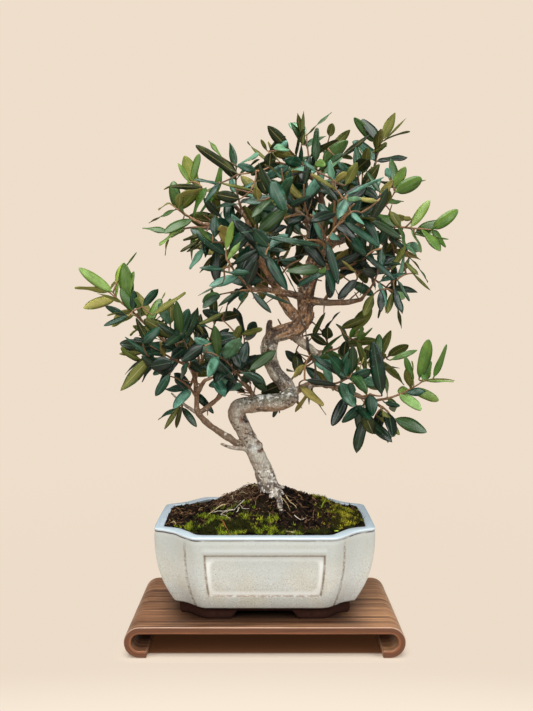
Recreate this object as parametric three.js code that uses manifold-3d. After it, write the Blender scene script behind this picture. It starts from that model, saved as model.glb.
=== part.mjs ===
// Olive bonsai: a small olive tree with a wound trunk and three pads of foliage, growing in a glazed
// rectangular pot with indented corners, on a low wooden stand with rolled ends.
//
// Frame: millimetres, +Z up, +X to the right seen from the front, +Y to the back. The origin is the
// centre of the footprint, on the surface that the stand stands on.
//
// Nodes: stand, pot, soil, three cushions of moss, tree (trunk, surface roots and branches, grown as one
// piece), and one node for each leafy spray (twig and leaves), which goes on from the end of its branchlet.

import * as THREE from "three";
import { mergeVertices } from "three/addons/utils/BufferGeometryUtils.js";
import Module from "manifold-3d";

const wasm = await Module();
wasm.setup();

// ---------------------------------------------------------------- driving dimensions, in millimetres

const GAP = 0.3; // air between pieces that only touch

const STAND = {
  length: 256,
  depth: 132,
  height: 28.5,
  board: 6.5, // thickness of the bent board
  lip: 6, // how far the rolled end runs inwards past the middle of its roll
};

const POT = {
  centreY: 9.5, // the pot stands a little behind the middle of the stand
  height: 83,
  footHeight: 10,
  archHeight: 7.5, // cut-outs between the feet
  archHalfX: 33, // at the surface it stands on, and less higher up
  archSlope: 7.5,
  archHalfY: 14,
  rim: { halfX: 105, halfY: 77, flatX: 70, flatY: 43 },
  base: { halfX: 86, halfY: 57.5, flatX: 62, flatY: 37 },
  flare: 2.7, // power of the belly's curve between rim and base
  edge: 1.6, // rounding of the rim's outer edge
  wall: 8,
  floor: 7.5,
  indent: 4, // depth of the groove where a long or short face meets a canted corner
  footInset: 3,
  footTaper: [0.94, 0.975], // how narrow the foot is at its bottom and its top
  panel: { depth: 1.7, longShare: 0.785, shortShare: 0.62, low: 15, high: 16.5 }, // shares of the flats, margins
  drainRadius: 7,
  drainX: 38,
};

const SOIL = { belowRim: 3, mound: 33, moundX: 60, moundY: 39, centre: [2, 8] };

// Stations of a blade are [share of its length, share of its half width].
const LEAF = { thickness: 0.7, baseHalfWidth: 0.8, stations: [[0.3, 0.95], [0.7, 0.9]] };
const TWIG = { root: 1.3, tip: 0.75 }; // half of the square twig's diagonal, at each end
const TWIG_REACH = 42; // length of the leafy part of a shoot

const TOP = STAND.height; // the pot's feet stand here
const RIM_Z = TOP + POT.height;
const BASE_Z = TOP + POT.footHeight;
const FLOOR_Z = BASE_Z + POT.floor;
const FOOT_CENTRE = [9, 4]; // where the trunk enters the soil

// ---------------------------------------------------------------- small vector and number helpers

const add = (a, b) => [a[0] + b[0], a[1] + b[1], a[2] + b[2]];
const sub = (a, b) => [a[0] - b[0], a[1] - b[1], a[2] - b[2]];
const mul = (a, s) => [a[0] * s, a[1] * s, a[2] * s];
const dot = (a, b) => a[0] * b[0] + a[1] * b[1] + a[2] * b[2];
const cross = (a, b) => [
  a[1] * b[2] - a[2] * b[1],
  a[2] * b[0] - a[0] * b[2],
  a[0] * b[1] - a[1] * b[0],
];
const unit = (a) => mul(a, 1 / Math.sqrt(dot(a, a)));
const mix = (a, b, t) => a + (b - a) * t;
const squared = (a, b) => (a[0] - b[0]) ** 2 + (a[1] - b[1]) ** 2 + (a[2] - b[2]) ** 2;
const apart = (a, b) => Math.sqrt(squared(a, b));
const UP = [0, 0, 1];

// A seeded random stream of numbers from 0 to 1.
function stream(seed) {
  let state = seed >>> 0;
  return () => {
    state = (state + 0x6d2b79f5) >>> 0;
    let t = state;
    t = Math.imul(t ^ (t >>> 15), t | 1);
    t = (t ^ (t + Math.imul(t ^ (t >>> 7), t | 61))) >>> 0;
    return ((t ^ (t >>> 14)) >>> 0) / 4294967296;
  };
}

// ---------------------------------------------------------------- solids

function geometryFrom(points, triangles) {
  const geometry = new THREE.BufferGeometry();
  geometry.setAttribute("position", new THREE.Float32BufferAttribute(points.flat(), 3));
  geometry.setIndex(triangles.flat());
  return geometry;
}

function solidFrom(geometry) {
  const bare = geometry.clone();
  bare.deleteAttribute("normal");
  bare.deleteAttribute("uv");
  const merged = mergeVertices(bare, 1e-4);
  return new wasm.Manifold(
    new wasm.Mesh({
      numProp: 3,
      vertProperties: merged.attributes.position.array,
      triVerts: new Uint32Array(merged.index.array),
    }),
  );
}

function geometryOf(solid) {
  const mesh = solid.getMesh();
  const geometry = new THREE.BufferGeometry();
  geometry.setAttribute("position", new THREE.BufferAttribute(mesh.vertProperties, 3));
  geometry.setIndex(new THREE.BufferAttribute(mesh.triVerts, 1));
  return geometry;
}

// Closed loft through rings of equal length. Each ring runs counter-clockwise seen against the direction
// in which the rings follow each other. The ends are closed with a fan, from the middle if the ring is a
// large one, which need not be convex.
function loft(rings) {
  const count = rings[0].length;
  const points = rings.flat();
  const triangles = [];
  for (let r = 0; r + 1 < rings.length; r++)
    for (let i = 0; i < count; i++) {
      const j = (i + 1) % count;
      const [a, b] = [r * count + i, r * count + j];
      triangles.push([a, b, b + count], [a, b + count, a + count]);
    }
  const end = (rings.length - 1) * count;
  if (count <= 10) {
    for (let i = 1; i + 1 < count; i++) triangles.push([0, i + 1, i], [end, end + i, end + i + 1]);
    return solidFrom(geometryFrom(points, triangles));
  }
  const [first, last] = [points.length, points.length + 1];
  points.push(mul(rings[0].reduce(add), 1 / count), mul(rings.at(-1).reduce(add), 1 / count));
  for (let i = 0; i < count; i++) {
    const j = (i + 1) % count;
    triangles.push([first, j, i], [last, end + i, end + j]);
  }
  return solidFrom(geometryFrom(points, triangles));
}

// Tube through stations [x, y, z, radius]. A rounded one gets a smaller ring beyond each end.
function tube(stations, sides, rounded = false) {
  const places = stations.map(([x, y, z, radius]) => ({ centre: [x, y, z], radius }));
  if (rounded) {
    const cap = (tip, next) => {
      const out = unit(sub(tip.centre, next.centre));
      return { centre: add(tip.centre, mul(out, tip.radius * 0.6)), radius: tip.radius * 0.62 };
    };
    places.unshift(cap(places[0], places[1]));
    places.push(cap(places.at(-1), places.at(-2)));
  }
  let side = null;
  const rings = places.map(({ centre, radius }, i) => {
    const before = places[Math.max(i - 1, 0)].centre;
    const after = places[Math.min(i + 1, places.length - 1)].centre;
    const along = unit(sub(after, before));
    const seed = side ?? (Math.abs(along[2]) < 0.9 ? UP : [1, 0, 0]);
    side = unit(sub(seed, mul(along, dot(seed, along))));
    const third = cross(along, side);
    return Array.from({ length: sides }, (_, s) => {
      const angle = (2 * Math.PI * s) / sides;
      const arm = add(mul(side, Math.cos(angle)), mul(third, Math.sin(angle)));
      return add(centre, mul(arm, radius));
    });
  });
  return loft(rings);
}

const grown = (stations, by) => stations.map(([x, y, z, r]) => [x, y, z, r + by]);
const unite = (solids) => solids.reduce((all, one) => all.add(one));

// ---------------------------------------------------------------- stand

// A board bent to a roll at each end, seen from the front as a Shape and pushed back along Y.
function makeStand() {
  const { length, depth, height, board, lip } = STAND;
  const outer = height / 2;
  const inner = outer - board;
  const roll = length / 2 - outer; // the middle of the right-hand roll
  const shape = new THREE.Shape();
  shape.moveTo(-roll, height);
  shape.absarc(-roll, outer, outer, Math.PI / 2, (3 * Math.PI) / 2, false);
  shape.lineTo(-roll + lip, 0);
  shape.lineTo(-roll + lip, board);
  shape.lineTo(-roll, board);
  shape.absarc(-roll, outer, inner, (3 * Math.PI) / 2, Math.PI / 2, true);
  shape.absarc(roll, outer, inner, Math.PI / 2, -Math.PI / 2, true);
  shape.lineTo(roll - lip, board);
  shape.lineTo(roll - lip, 0);
  shape.lineTo(roll, 0);
  shape.absarc(roll, outer, outer, -Math.PI / 2, Math.PI / 2, false);
  const geometry = new THREE.ExtrudeGeometry(shape, {
    depth,
    bevelEnabled: false,
    curveSegments: 7,
  });
  geometry.rotateX(Math.PI / 2);
  geometry.translate(0, depth / 2, 0);
  return solidFrom(geometry);
}

// ---------------------------------------------------------------- pot

// How far the wall at height z has gone from the rim's outline (0) to the base's (1).
function flareAt(z) {
  const share = THREE.MathUtils.clamp((RIM_Z - z) / (RIM_Z - BASE_Z), 0, 1);
  return Math.pow(share, POT.flare);
}

function sizesAt(z) {
  const k = flareAt(z);
  const { rim, base } = POT;
  return Object.fromEntries(Object.keys(rim).map((key) => [key, mix(rim[key], base[key], k)]));
}

// One ring of the outside: two long and two short flats, with a canted corner between grooves.
function potRing(z, out, indent) {
  const { halfX, halfY, flatX, flatY } = sizesAt(z);
  const [x, y] = [halfX + out, halfY + out];
  const middle = [(flatX + x) / 2 - 0.25 * indent, (flatY + y) / 2 - 0.25 * indent];
  const quarter = [
    [x, flatY - 2],
    [x - indent, flatY + 1],
    middle,
    [flatX + 1, y - indent],
    [flatX - 2, y],
  ];
  const mirrored = [...quarter].reverse().map(([a, b]) => [-a, b]);
  const back = [...quarter, ...mirrored];
  const all = [...back, ...back.map(([a, b]) => [-a, -b])];
  return all.map(([a, b]) => [a, b + POT.centreY, z]);
}

// Rows of the cavity's wall, as shares of the height from its floor to just above the rim.
const CAVITY_ROWS = [0, 0.35, 0.7, 1];

// One ring of the cavity, or of the soil in it, with `inset` from the outline: a plain octagon.
function cavityRing(z, inset) {
  const { halfX, halfY, flatX, flatY } = sizesAt(z);
  const [x, y] = [halfX - inset, halfY - inset];
  const [fx, fy] = [flatX - 0.5 * inset, flatY - 0.5 * inset];
  const corners = [
    [x, -fy],
    [x, fy],
    [fx, y],
    [-fx, y],
    [-x, fy],
    [-x, -fy],
    [-fx, -y],
    [fx, -y],
  ];
  return corners.map(([a, b]) => [a, b + POT.centreY, z]);
}

// A block that cuts the sunken panel out of the face that `turn` quarter turns bring to the front.
function panelCutter(long, sign) {
  const { depth, longShare, shortShare, low, high } = POT.panel;
  const rings = [];
  for (const row of [0, 0.5, 1]) {
    const z = mix(BASE_Z + low, RIM_Z - high, row);
    const { halfX, halfY, flatX, flatY } = sizesAt(z);
    const face = long ? halfY : halfX;
    const reach = long ? longShare * flatX : shortShare * flatY;
    const [inner, outer] = [face - depth, face + 6];
    const ring = [
      [-reach, inner],
      [reach, inner],
      [reach, outer],
      [-reach, outer],
    ];
    const placed = ring.map(([along, away]) => (long ? [along, away] : [away, -along]));
    rings.push(placed.map(([a, b]) => [a * sign, b * sign + POT.centreY, z]));
  }
  return loft(rings);
}

function box(low, high) {
  const size = sub(high, low);
  const geometry = new THREE.BoxGeometry(...size);
  geometry.translate(...mul(add(low, high), 0.5));
  return solidFrom(geometry);
}

function makePot() {
  const { indent, edge, footInset, footTaper, archHalfX, archHalfY, archSlope, archHeight } = POT;
  const body = loft([
    ...[0, 0.3, 0.62, 1].map((share) => potRing(mix(BASE_Z, RIM_Z - edge, share), 0, indent)),
    potRing(RIM_Z, -edge, 0.8 * indent),
  ]);
  const foot = loft([
    potRing(TOP, -footInset - 1, indent).map(([x, y]) => [footTaper[0] * x, y, TOP]),
    potRing(BASE_Z, -footInset, indent).map(([x, y]) => [footTaper[1] * x, y, BASE_Z + 1]),
  ]);
  const well = loft([
    cavityRing(BASE_Z, POT.wall + 5).map(([x, y]) => [x, y, TOP - 1]),
    cavityRing(BASE_Z, POT.wall + 4).map(([x, y]) => [x, y, BASE_Z - 1.5]),
  ]);
  const cavity = loft(CAVITY_ROWS.map((s) => cavityRing(mix(FLOOR_Z, RIM_Z + 1, s), POT.wall)));
  const [farX, farY] = [POT.rim.halfX + 10, POT.rim.halfY + 10];
  const archRing = (halfX, z) => [
    [-halfX, -farY, z],
    [halfX, -farY, z],
    [halfX, farY, z],
    [-halfX, farY, z],
  ];
  const arches = [
    loft([archRing(archHalfX, TOP - 1), archRing(archHalfX - archSlope, TOP + archHeight)]),
    box([-farX, POT.centreY - archHalfY, TOP - 1], [farX, POT.centreY + archHalfY, TOP + archHeight]),
  ];
  const drains = [-1, 1].map((side) => {
    const hole = new THREE.CylinderGeometry(POT.drainRadius, POT.drainRadius, 30, 9);
    hole.rotateX(Math.PI / 2);
    hole.translate(side * POT.drainX, POT.centreY, FLOOR_Z - 5);
    return solidFrom(hole);
  });
  const panels = [true, false].flatMap((long) => [-1, 1].map((sign) => panelCutter(long, sign)));
  const cuts = unite([well, ...arches, ...drains, ...panels, cavity]);
  return body.add(foot).subtract(cuts);
}

// ---------------------------------------------------------------- soil and moss

// Height of the ground at a place: level at the wall, and a mound round the trunk's foot.
function groundAt(x, y) {
  const [cx, cy] = SOIL.centre;
  const mound = Math.exp(-(((x - cx) / SOIL.moundX) ** 2) - ((y - cy) / SOIL.moundY) ** 2);
  const bumps = 0.9 * Math.sin(x * 0.21 + 1.3) * Math.cos(y * 0.27) + 0.7 * Math.sin(x * 0.11 - y * 0.17);
  return RIM_Z - SOIL.belowRim + SOIL.mound * mound + bumps;
}

// The ring with one more point in the middle of each of its edges.
function finer(ring) {
  return ring.flatMap((point, i) => {
    const next = ring[(i + 1) % ring.length];
    return [point, mul(add(point, next), 0.5)];
  });
}

function makeSoil(foot) {
  const rows = CAVITY_ROWS.map((share) => {
    const z = mix(FLOOR_Z + GAP, RIM_Z + 1, share);
    return finer(cavityRing(z, POT.wall + 1.5 * GAP));
  });
  const [below, above] = rows.slice(-2);
  const share = (RIM_Z - SOIL.belowRim - 2 - below[0][2]) / (above[0][2] - below[0][2]);
  const edge = below.map((point, i) => add(point, mul(sub(above[i], point), share)));
  const walls = [...rows.slice(0, -1), edge];
  const centre = [FOOT_CENTRE[0], FOOT_CENTRE[1], 0];
  const tops = [1, 0.75, 0.5, 0.3, 0.12].map((share) =>
    edge.map(([x, y]) => {
      const [px, py] = [mix(centre[0], x, share), mix(centre[1], y, share)];
      return [px, py, groundAt(px, py)];
    }),
  );
  return loft([...walls, ...tops]).subtract(foot);
}

const MOSS = [
  { name: "moss_front_left", centre: [-36, -33], half: [44, 20], turn: 0.1, thickness: 3.2 },
  { name: "moss_right", centre: [66, -18], half: [19, 24], turn: 0.3, thickness: 2.8 },
  { name: "moss_back_right", centre: [42, 38], half: [30, 15], turn: -0.2, thickness: 3 },
];

// A cushion of moss with a wavy outline, laid on the ground: a slice of the ground itself, lifted.
function makeMoss({ centre, half, turn, thickness }, soil) {
  const count = 14;
  const [c, s] = [Math.cos(turn), Math.sin(turn)];
  const ring = (z) =>
    Array.from({ length: count }, (_, i) => {
      const angle = (2 * Math.PI * i) / count;
      const wave = 1 + 0.09 * Math.sin(3 * angle + centre[0]) + 0.06 * Math.sin(5 * angle + centre[1]);
      const [a, b] = [half[0] * wave * Math.cos(angle), half[1] * wave * Math.sin(angle)];
      return [centre[0] + a * c - b * s, centre[1] + a * s + b * c, z];
    });
  const outline = loft([ring(BASE_Z), ring(RIM_Z + 2 * SOIL.mound)]);
  const lifted = soil.translate([0, 0, GAP + thickness]);
  return lifted.intersect(outline).subtract(soil.translate([0, 0, GAP]));
}

// ---------------------------------------------------------------- trunk, roots and limbs

// The trunk in three runs, lapped at the two hard bends: up to the elbow, across, and up to the crown.
const TRUNK = [
  [[13, 2, 88, 12], [12, 2.5, 108, 14], [9, 3.5, 124, 13.4], [5, 4, 138, 11.6], [-1, 5, 160, 10.4],
    [-11, 5, 180, 10.3], [-18, 4, 195, 9.7], [-23, 3, 208, 9.5], [-25, 2, 215, 8.6]],
  [[-24, 1, 219, 8], [-14, -1, 224, 8], [-5, -3, 225.5, 7.7], [11, -5, 226, 7.9], [21, -5, 229, 8],
    [26, -3, 234, 7.8]],
  [[25, -1, 234, 7.6], [19, 5, 245, 7.6], [11, 7, 254, 7.4], [5, 6.5, 266, 7.3], [4, 4, 280, 8],
    [9, 2, 290, 8], [20, 0, 295, 7.8], [32, 0, 299, 7.5], [39, 1, 308, 7.2], [40, 2, 318, 7.2],
    [39, 3, 327, 7.8], [42, 4, 338, 8.2], [45, 5, 349, 7.4], [46, 6, 361, 6.4], [50, 6, 374, 5.2],
    [54, 4, 390, 4], [57, 0, 406, 3]],
];

// Surface roots, as [direction in degrees, length, radius at the trunk].
const ROOTS = [[-60, 24, 6.5], [-145, 24, 5.5], [165, 21, 5], [15, 23, 5.5], [90, 21, 5]];

function rootStations([degrees, length, radius]) {
  const [c, s] = [Math.cos((degrees * Math.PI) / 180), Math.sin((degrees * Math.PI) / 180)];
  const place = (share, lift, r) => {
    const [x, y] = [FOOT_CENTRE[0] + c * length * share, FOOT_CENTRE[1] + s * length * share];
    return [x, y, groundAt(x, y) + lift, r];
  };
  return [place(0.2, 1, radius), place(0.6, -1.2, radius * 0.7), place(1, -4, radius * 0.3)];
}

// Limbs: the pad of foliage that they carry, and stations [x, y, z, radius].
const LIMBS = [
  { pad: "crown", path: [[37, 0, 303, 5.6], [22, -2, 318, 5], [12, -4, 336, 4.4], [0, -8, 356, 3.6],
    [-18, -12, 378, 2.8], [-42, -12, 392, 2.2], [-60, -9, 398, 1.7]] },
  { pad: "crown", path: [[12, -4, 336, 3.4], [2, -20, 352, 2.8], [-4, -34, 362, 2]] },
  { pad: "crown", path: [[0, -8, 356, 3.4], [-10, 0, 382, 2.8], [-18, 2, 404, 2.2], [-30, 5, 418, 1.7]] },
  { pad: "crown", path: [[57, 0, 406, 3], [54, -2, 426, 2.3], [47, -2, 440, 1.8]] },
  { pad: "crown", path: [[46, 6, 361, 5], [64, 2, 378, 4], [82, -2, 392, 3.2], [100, -6, 399, 2.5],
    [118, -8, 396, 1.9]] },
  { pad: "crown", path: [[82, -2, 392, 2.8], [90, -4, 412, 2.3], [98, -2, 430, 1.8]] },
  { pad: "crown", path: [[45, 5, 349, 4], [50, -14, 360, 3.4], [58, -32, 374, 2.6], [62, -42, 386, 2]] },
  { pad: "crown", path: [[46, 6, 361, 4], [48, 22, 374, 3.3], [46, 36, 388, 2.6], [42, 44, 404, 1.9]] },
  { pad: "crown", path: [[64, 2, 378, 3], [76, 18, 384, 2.5], [88, 30, 388, 1.9]] },
  { pad: "crown", path: [[0, -8, 356, 3], [-8, 12, 370, 2.5], [-20, 26, 380, 1.9]] },
  { pad: "crown", path: [[38, 2, 328, 4], [22, -8, 332, 3.2], [6, -16, 334, 2.6], [-12, -24, 335, 2]] },
  { pad: "crown", path: [[42, 2, 325, 4.5], [60, -4, 323, 3.2], [76, -8, 323, 2.6], [92, -10, 326, 2]] },
  { pad: "crown", path: [[46, 6, 361, 3.4], [62, -10, 357, 2.8], [78, -20, 356, 2]] },
  { pad: "crown", path: [[54, 4, 390, 3], [40, -14, 402, 2.4], [28, -28, 408, 1.9]] },
  { pad: "left", path: [[-14, 4, 178, 5], [-27, 2, 185, 4.4], [-47, -4, 199, 3.8], [-64, -8, 215, 3.4],
    [-66, -8, 234, 2.9], [-68, -8, 252, 2.5], [-78, -8, 268, 2.2], [-94, -7, 284, 1.9],
    [-108, -4, 296, 1.6]] },
  { pad: "left", path: [[-64, -8, 215, 2.8], [-50, -5, 226, 2.3], [-36, -1, 240, 1.8]] },
  { pad: "left", path: [[-66, -8, 234, 2.5], [-60, -20, 244, 2.1], [-56, -30, 250, 1.7]] },
  { pad: "left", path: [[-68, -8, 252, 2.4], [-66, 10, 260, 2], [-62, 22, 268, 1.6]] },
  { pad: "left", path: [[-8, -2, 226, 3.2], [-13, -4, 236, 2.2]] },
  { pad: "right", path: [[24, 1, 294, 4.5], [46, 4, 277, 3.6], [62, 8, 267, 2.8], [80, 12, 262, 2.1]] },
  { pad: "right", path: [[26, -3, 236, 4], [50, -12, 245, 2.9], [74, -22, 241, 2.4], [92, -27, 234, 2],
    [104, -30, 231, 1.7]] },
  { pad: "right", path: [[46, 4, 277, 2.8], [46, 18, 268, 2.3], [38, 26, 260, 1.8]] },
];

// Dead ends and stubs of cut branches.
const STUBS = [
  [[-62, -8, 214, 2.2], [-78, -10, 225, 1.5], [-90, -11, 236, 1]],
  [[-18, 2, 180, 2.6], [-32, 0, 181, 1.9], [-43, -1, 185, 1.3]],
  [[5, 3, 284, 4.8], [4, 2, 296, 3.4], [5, 2, 305, 2.6]],
  [[-6, 4, 180, 5], [4, 1, 181, 4.4], [8, 0, 182, 3.4]],
  [[26, -3, 300, 2.4], [34, -8, 311, 1.6]],
  [[40, 3, 318, 2.4], [58, -1, 326, 1.3]],
];

const PAD_CENTRES = { crown: [36, 0, 388], left: [-70, -4, 262], right: [84, -4, 256] };

// Point and direction on a limb, at a share of its length.
function alongPath(path, share) {
  const pieces = path.slice(1).map((point, i) => Math.hypot(...sub(point, path[i])));
  let left = share * pieces.reduce((a, b) => a + b);
  for (let i = 0; i < pieces.length; i++) {
    if (left <= pieces[i] || i === pieces.length - 1) {
      const t = Math.min(left / pieces[i], 1);
      const way = sub(path[i + 1], path[i]);
      const radius = mix(path[i][3], path[i + 1][3], t);
      return { point: add(path[i], mul(way, t)), way: unit(way), radius };
    }
    left -= pieces[i];
  }
}

// Where the shoots of each pad end, [x, y, z]. A fourth number is how much longer the branchlet is than it
// need be, so that the leafy twig starts clear of its neighbours.
const TIPS = {
  crown: [
    [40, 0, 484], [64, 20, 474], [111, 0, 477], [123, -15, 428, 8], [160, -10, 392], [141, 5, 366],
    [123, -12, 330], [-73, 15, 438], [-27, -10, 452], [-93, 8, 420], [-92, 0, 390, 8], [-57, -25, 372],
    [-36, -44, 378, 4], [-42, -30, 330, 10], [47, -30, 452], [83, -35, 445], [7, -62, 416],
    [-6, -66, 384], [64, -70, 410], [96, -56, 396], [104, -38, 366], [-50, 46, 412], [-8, 56, 436],
    [36, 58, 450], [82, 50, 438], [117, 40, 404], [92, 56, 366], [38, 63, 394, 8], [-4, 54, 360],
    [-50, 40, 372], [50, -50, 352],
  ],
  left: [
    [-154, 14, 334], [-126, -10, 314, 14], [-118, -18, 268], [-91, -28, 254], [-80, -12, 222, 11],
    [-49, 12, 306], [-43, -48, 274], [-77, -40, 294], [-20, 10, 288], [-14, -24, 258], [-78, 38, 288],
    [-36, 38, 272],
  ],
  right: [
    [47, 18, 304, 4], [88, 26, 292, 6], [123, 14, 270], [147, -36, 250], [120, -34, 214, 8],
    [94, -34, 214, 6], [80, -50, 258], [54, -12, 272], [46, 10, 236], [18, 30, 232],
  ],
};

// ---------------------------------------------------------------- the growth rule for the sprays

// What it costs a shoot to grow from a spot to its tip, as millimetres of extra reach.
const COST = { shortReach: 40, short: 3, turn: 22, crowded: 8, crowd: 20, clear: 4, hit: 30 };

// Every spray: the branchlet that leaves a limb, and the leafy twig that goes on from its end to the tip.
// The end of each limb takes the shoot that suits it best. The others leave from the cheapest place.
function growSprays() {
  const spots = LIMBS.flatMap(({ pad, path }, l) =>
    [1, 0.9, 0.8, 0.7, 0.6, 0.5, 0.4].map((share) => ({ pad, l, share, ...alongPath(path, share) })),
  );
  const wood = [...TRUNK, ...LIMBS.map(({ path }) => path)].flatMap((path) =>
    Array.from({ length: 16 }, (_, i) => alongPath(path, i / 15)),
  );
  const used = [];
  const cost = (tip, spot) => {
    const far = Math.hypot(...sub(tip, spot.point));
    const turn = 1 - dot(unit(sub(tip, spot.point)), spot.way);
    const isNear = (point) => Math.hypot(...sub(point, spot.point)) < COST.crowded;
    const crowd = used.filter(isNear).length;
    const line = [0.4, 0.55, 0.7, 0.85, 1].map((t) => add(spot.point, mul(sub(tip, spot.point), t)));
    const isHit = (at) => wood.some(({ point, radius }) => apart(at, point) < radius + COST.clear);
    const hits = line.filter(isHit).length;
    const short = Math.max(COST.shortReach - far, 0);
    const reach = Math.max(far, TWIG_REACH) + COST.short * short;
    return reach + COST.turn * turn + COST.crowd * crowd + COST.hit * hits;
  };
  const shoots = Object.entries(TIPS).flatMap(([pad, tips]) =>
    tips.map(([x, y, z, more = 0]) => ({ pad, tip: [x, y, z], more, spot: null })),
  );
  const cheapest = (list, price) => list.reduce((a, b) => (price(b) < price(a) ? b : a));
  for (const end of spots.filter(({ share }) => share === 1)) {
    const free = shoots.filter(({ pad, spot }) => pad === end.pad && !spot);
    cheapest(free, ({ tip }) => cost(tip, end)).spot = end;
  }
  for (const shoot of shoots) {
    if (!shoot.spot) {
      const near = spots.filter(({ pad }) => pad === shoot.pad);
      shoot.spot = cheapest(near, (spot) => cost(shoot.tip, spot));
    }
    used.push(shoot.spot.point);
  }
  return shoots.map(({ pad, tip, more, spot }, index) => {
    const random = stream(1000 + index);
    const way = sub(tip, spot.point);
    const heading = unit(add(unit(way), mul(spot.way, 0.5)));
    const stem = Math.max(Math.hypot(...way) - TWIG_REACH, spot.radius + 5) + more;
    const start = add(spot.point, mul(heading, stem));
    const chord = sub(tip, start);
    const length = Math.hypot(...chord);
    const level = unit(cross(heading, Math.abs(heading[2]) < 0.9 ? UP : [1, 0, 0]));
    const turn = Math.PI * random();
    return {
      pad,
      root: spot.point,
      rootRadius: Math.min(spot.radius, 2),
      start,
      heading,
      chord,
      bow: sub(mul(heading, length), chord),
      side: add(mul(level, Math.cos(turn)), mul(cross(heading, level), Math.sin(turn))),
      length,
      pairs: Math.min(Math.max(Math.round(length / 9.2), 3), 5),
      seed: 5000 + index,
    };
  });
}

// Centre line of a spray's twig, from 0 to 1.
function twigPoint({ start, chord, bow }, t) {
  return add(start, add(mul(chord, t), mul(bow, t * (1 - t))));
}

// The way that the twig runs at t, and the two ways that its flats face.
function twigFrame(spray, t) {
  const way = unit(sub(twigPoint(spray, t + 0.01), twigPoint(spray, t - 0.01)));
  const first = unit(sub(spray.side, mul(way, dot(spray.side, way))));
  return { way, sides: [first, cross(way, first)] };
}

// Four corners of the twig at t. Flat number i lies between corners i - 1 and i.
function twigRing(spray, t) {
  const { sides } = twigFrame(spray, t);
  const radius = mix(TWIG.root, TWIG.tip, t);
  return [0, 1, 2, 3].map((corner) => {
    const angle = Math.PI / 4 + (corner * Math.PI) / 2;
    const arm = add(mul(sides[0], Math.cos(angle)), mul(sides[1], Math.sin(angle)));
    return add(twigPoint(spray, t), mul(arm, radius));
  });
}

const pairPlace = (spray, pair) => mix(0.1, 0.965, pair / (spray.pairs - 1));

// Points that stand for what has grown so far. The next leaf looks for room among them.
const grownPoints = [];

function roomOf(leaf) {
  const marks = [0.45, 0.72, 1].map((t) => leafPoint(leaf, t, 0, 0));
  return Math.min(...grownPoints.map((point) => Math.min(...marks.map((mark) => squared(mark, point)))));
}

// The leaves of a spray: opposite pairs, each a right angle round the twig from the pair before. Of several
// ways that a leaf might turn, it takes the one with the most room.
function growLeaves(spray) {
  const random = stream(spray.seed);
  const jitter = (size) => size * (random() - 0.5);
  const outward = unit(sub(twigPoint(spray, 1), PAD_CENTRES[spray.pad]));
  const facing = [0.5 * outward[0], 1.1 * outward[1] + (outward[1] > 0.25 ? 0.5 : -0.5), 0.55];
  const leaves = [];
  for (let pair = 0; pair < spray.pairs; pair++)
    for (let flat = pair % 2; flat < 4; flat += 2) {
      const t = pairPlace(spray, pair);
      const { way, sides } = twigFrame(spray, t);
      const radial = mul(sides[flat % 2], flat < 2 ? 1 : -1);
      const length = (24 + 9 * Math.sin(Math.PI * (0.15 + 0.65 * t))) * (1 + jitter(0.3));
      const halfWidth = length * (0.2 + jitter(0.05));
      const sag = 0.17 + jitter(0.14);
      const options = Array.from({ length: 8 }, () => {
        const [angle, swing] = [mix(1.15, 0.55, t) + jitter(0.5), jitter(1)];
        const aside = add(mul(radial, Math.cos(swing)), mul(cross(way, radial), Math.sin(swing)));
        const heading = unit(add(mul(way, Math.cos(angle)), mul(aside, Math.sin(angle))));
        const wanted = add(facing, [jitter(1.2), jitter(1.2), jitter(1.2)]);
        const normal = unit(sub(wanted, mul(heading, dot(wanted, heading))));
        return { pair, flat, root: twigPoint(spray, t), heading, normal, length, halfWidth, sag };
      });
      const rooms = options.map(roomOf);
      const leaf = options[rooms.indexOf(Math.max(...rooms))];
      leaves.push(leaf);
      grownPoints.push(...[0.25, 0.5, 0.75, 1].map((s) => leafPoint(leaf, s, 0, 0)));
    }
  return leaves;
}

// Point of a leaf: t along it, then millimetres across it and off its middle.
function leafPoint(leaf, t, across, off) {
  const side = cross(leaf.normal, leaf.heading);
  const drop = leaf.sag * leaf.length * t * t;
  const middle = add(leaf.root, mul(leaf.heading, leaf.length * t));
  return add(add(middle, mul(side, across)), mul(leaf.normal, off - drop));
}

// Four corners of a leaf at t, counter-clockwise seen from its tip.
function leafRing(leaf, t, halfWidth, half) {
  const corners = [[-1, -1], [1, -1], [1, 1], [-1, 1]];
  return corners.map(([a, b]) => leafPoint(leaf, t, a * halfWidth, b * half));
}

// Adds a blade to lists of points and triangles, grown from a loop of four points that are already there.
// Each ring of corners is turned so that it follows the loop before with the least twist.
function addBlade(leaf, points, triangles, loop, stations, clearance = 0) {
  const half = LEAF.thickness / 2 + clearance;
  let before = loop;
  for (const [t, share] of stations) {
    const ring = leafRing(leaf, t, share * leaf.halfWidth + clearance, half);
    const count = points.length;
    points.push(...ring);
    const gaps = (shift) => before.map((p, i) => Math.hypot(...sub(points[p], ring[(i + shift) % 4])));
    const twist = (shift) => gaps(shift).reduce((a, b) => a + b);
    const shift = [0, 1, 2, 3].reduce((best, one) => (twist(one) < twist(best) ? one : best));
    const after = [0, 1, 2, 3].map((i) => count + ((i + shift) % 4));
    for (let i = 0; i < 4; i++) {
      const j = (i + 1) % 4;
      triangles.push([before[i], before[j], after[j]], [before[i], after[j], after[i]]);
    }
    before = [count, count + 1, count + 2, count + 3];
  }
  const [a, b, c, d] = before;
  const low = points.length;
  const high = low + 1;
  points.push(leafPoint(leaf, 1, 0, -half), leafPoint(leaf, 1, 0, half));
  triangles.push([a, b, low], [c, d, high]);
  triangles.push([b, c, high], [b, high, low]);
  triangles.push([d, a, low], [d, low, high]);
}

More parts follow.
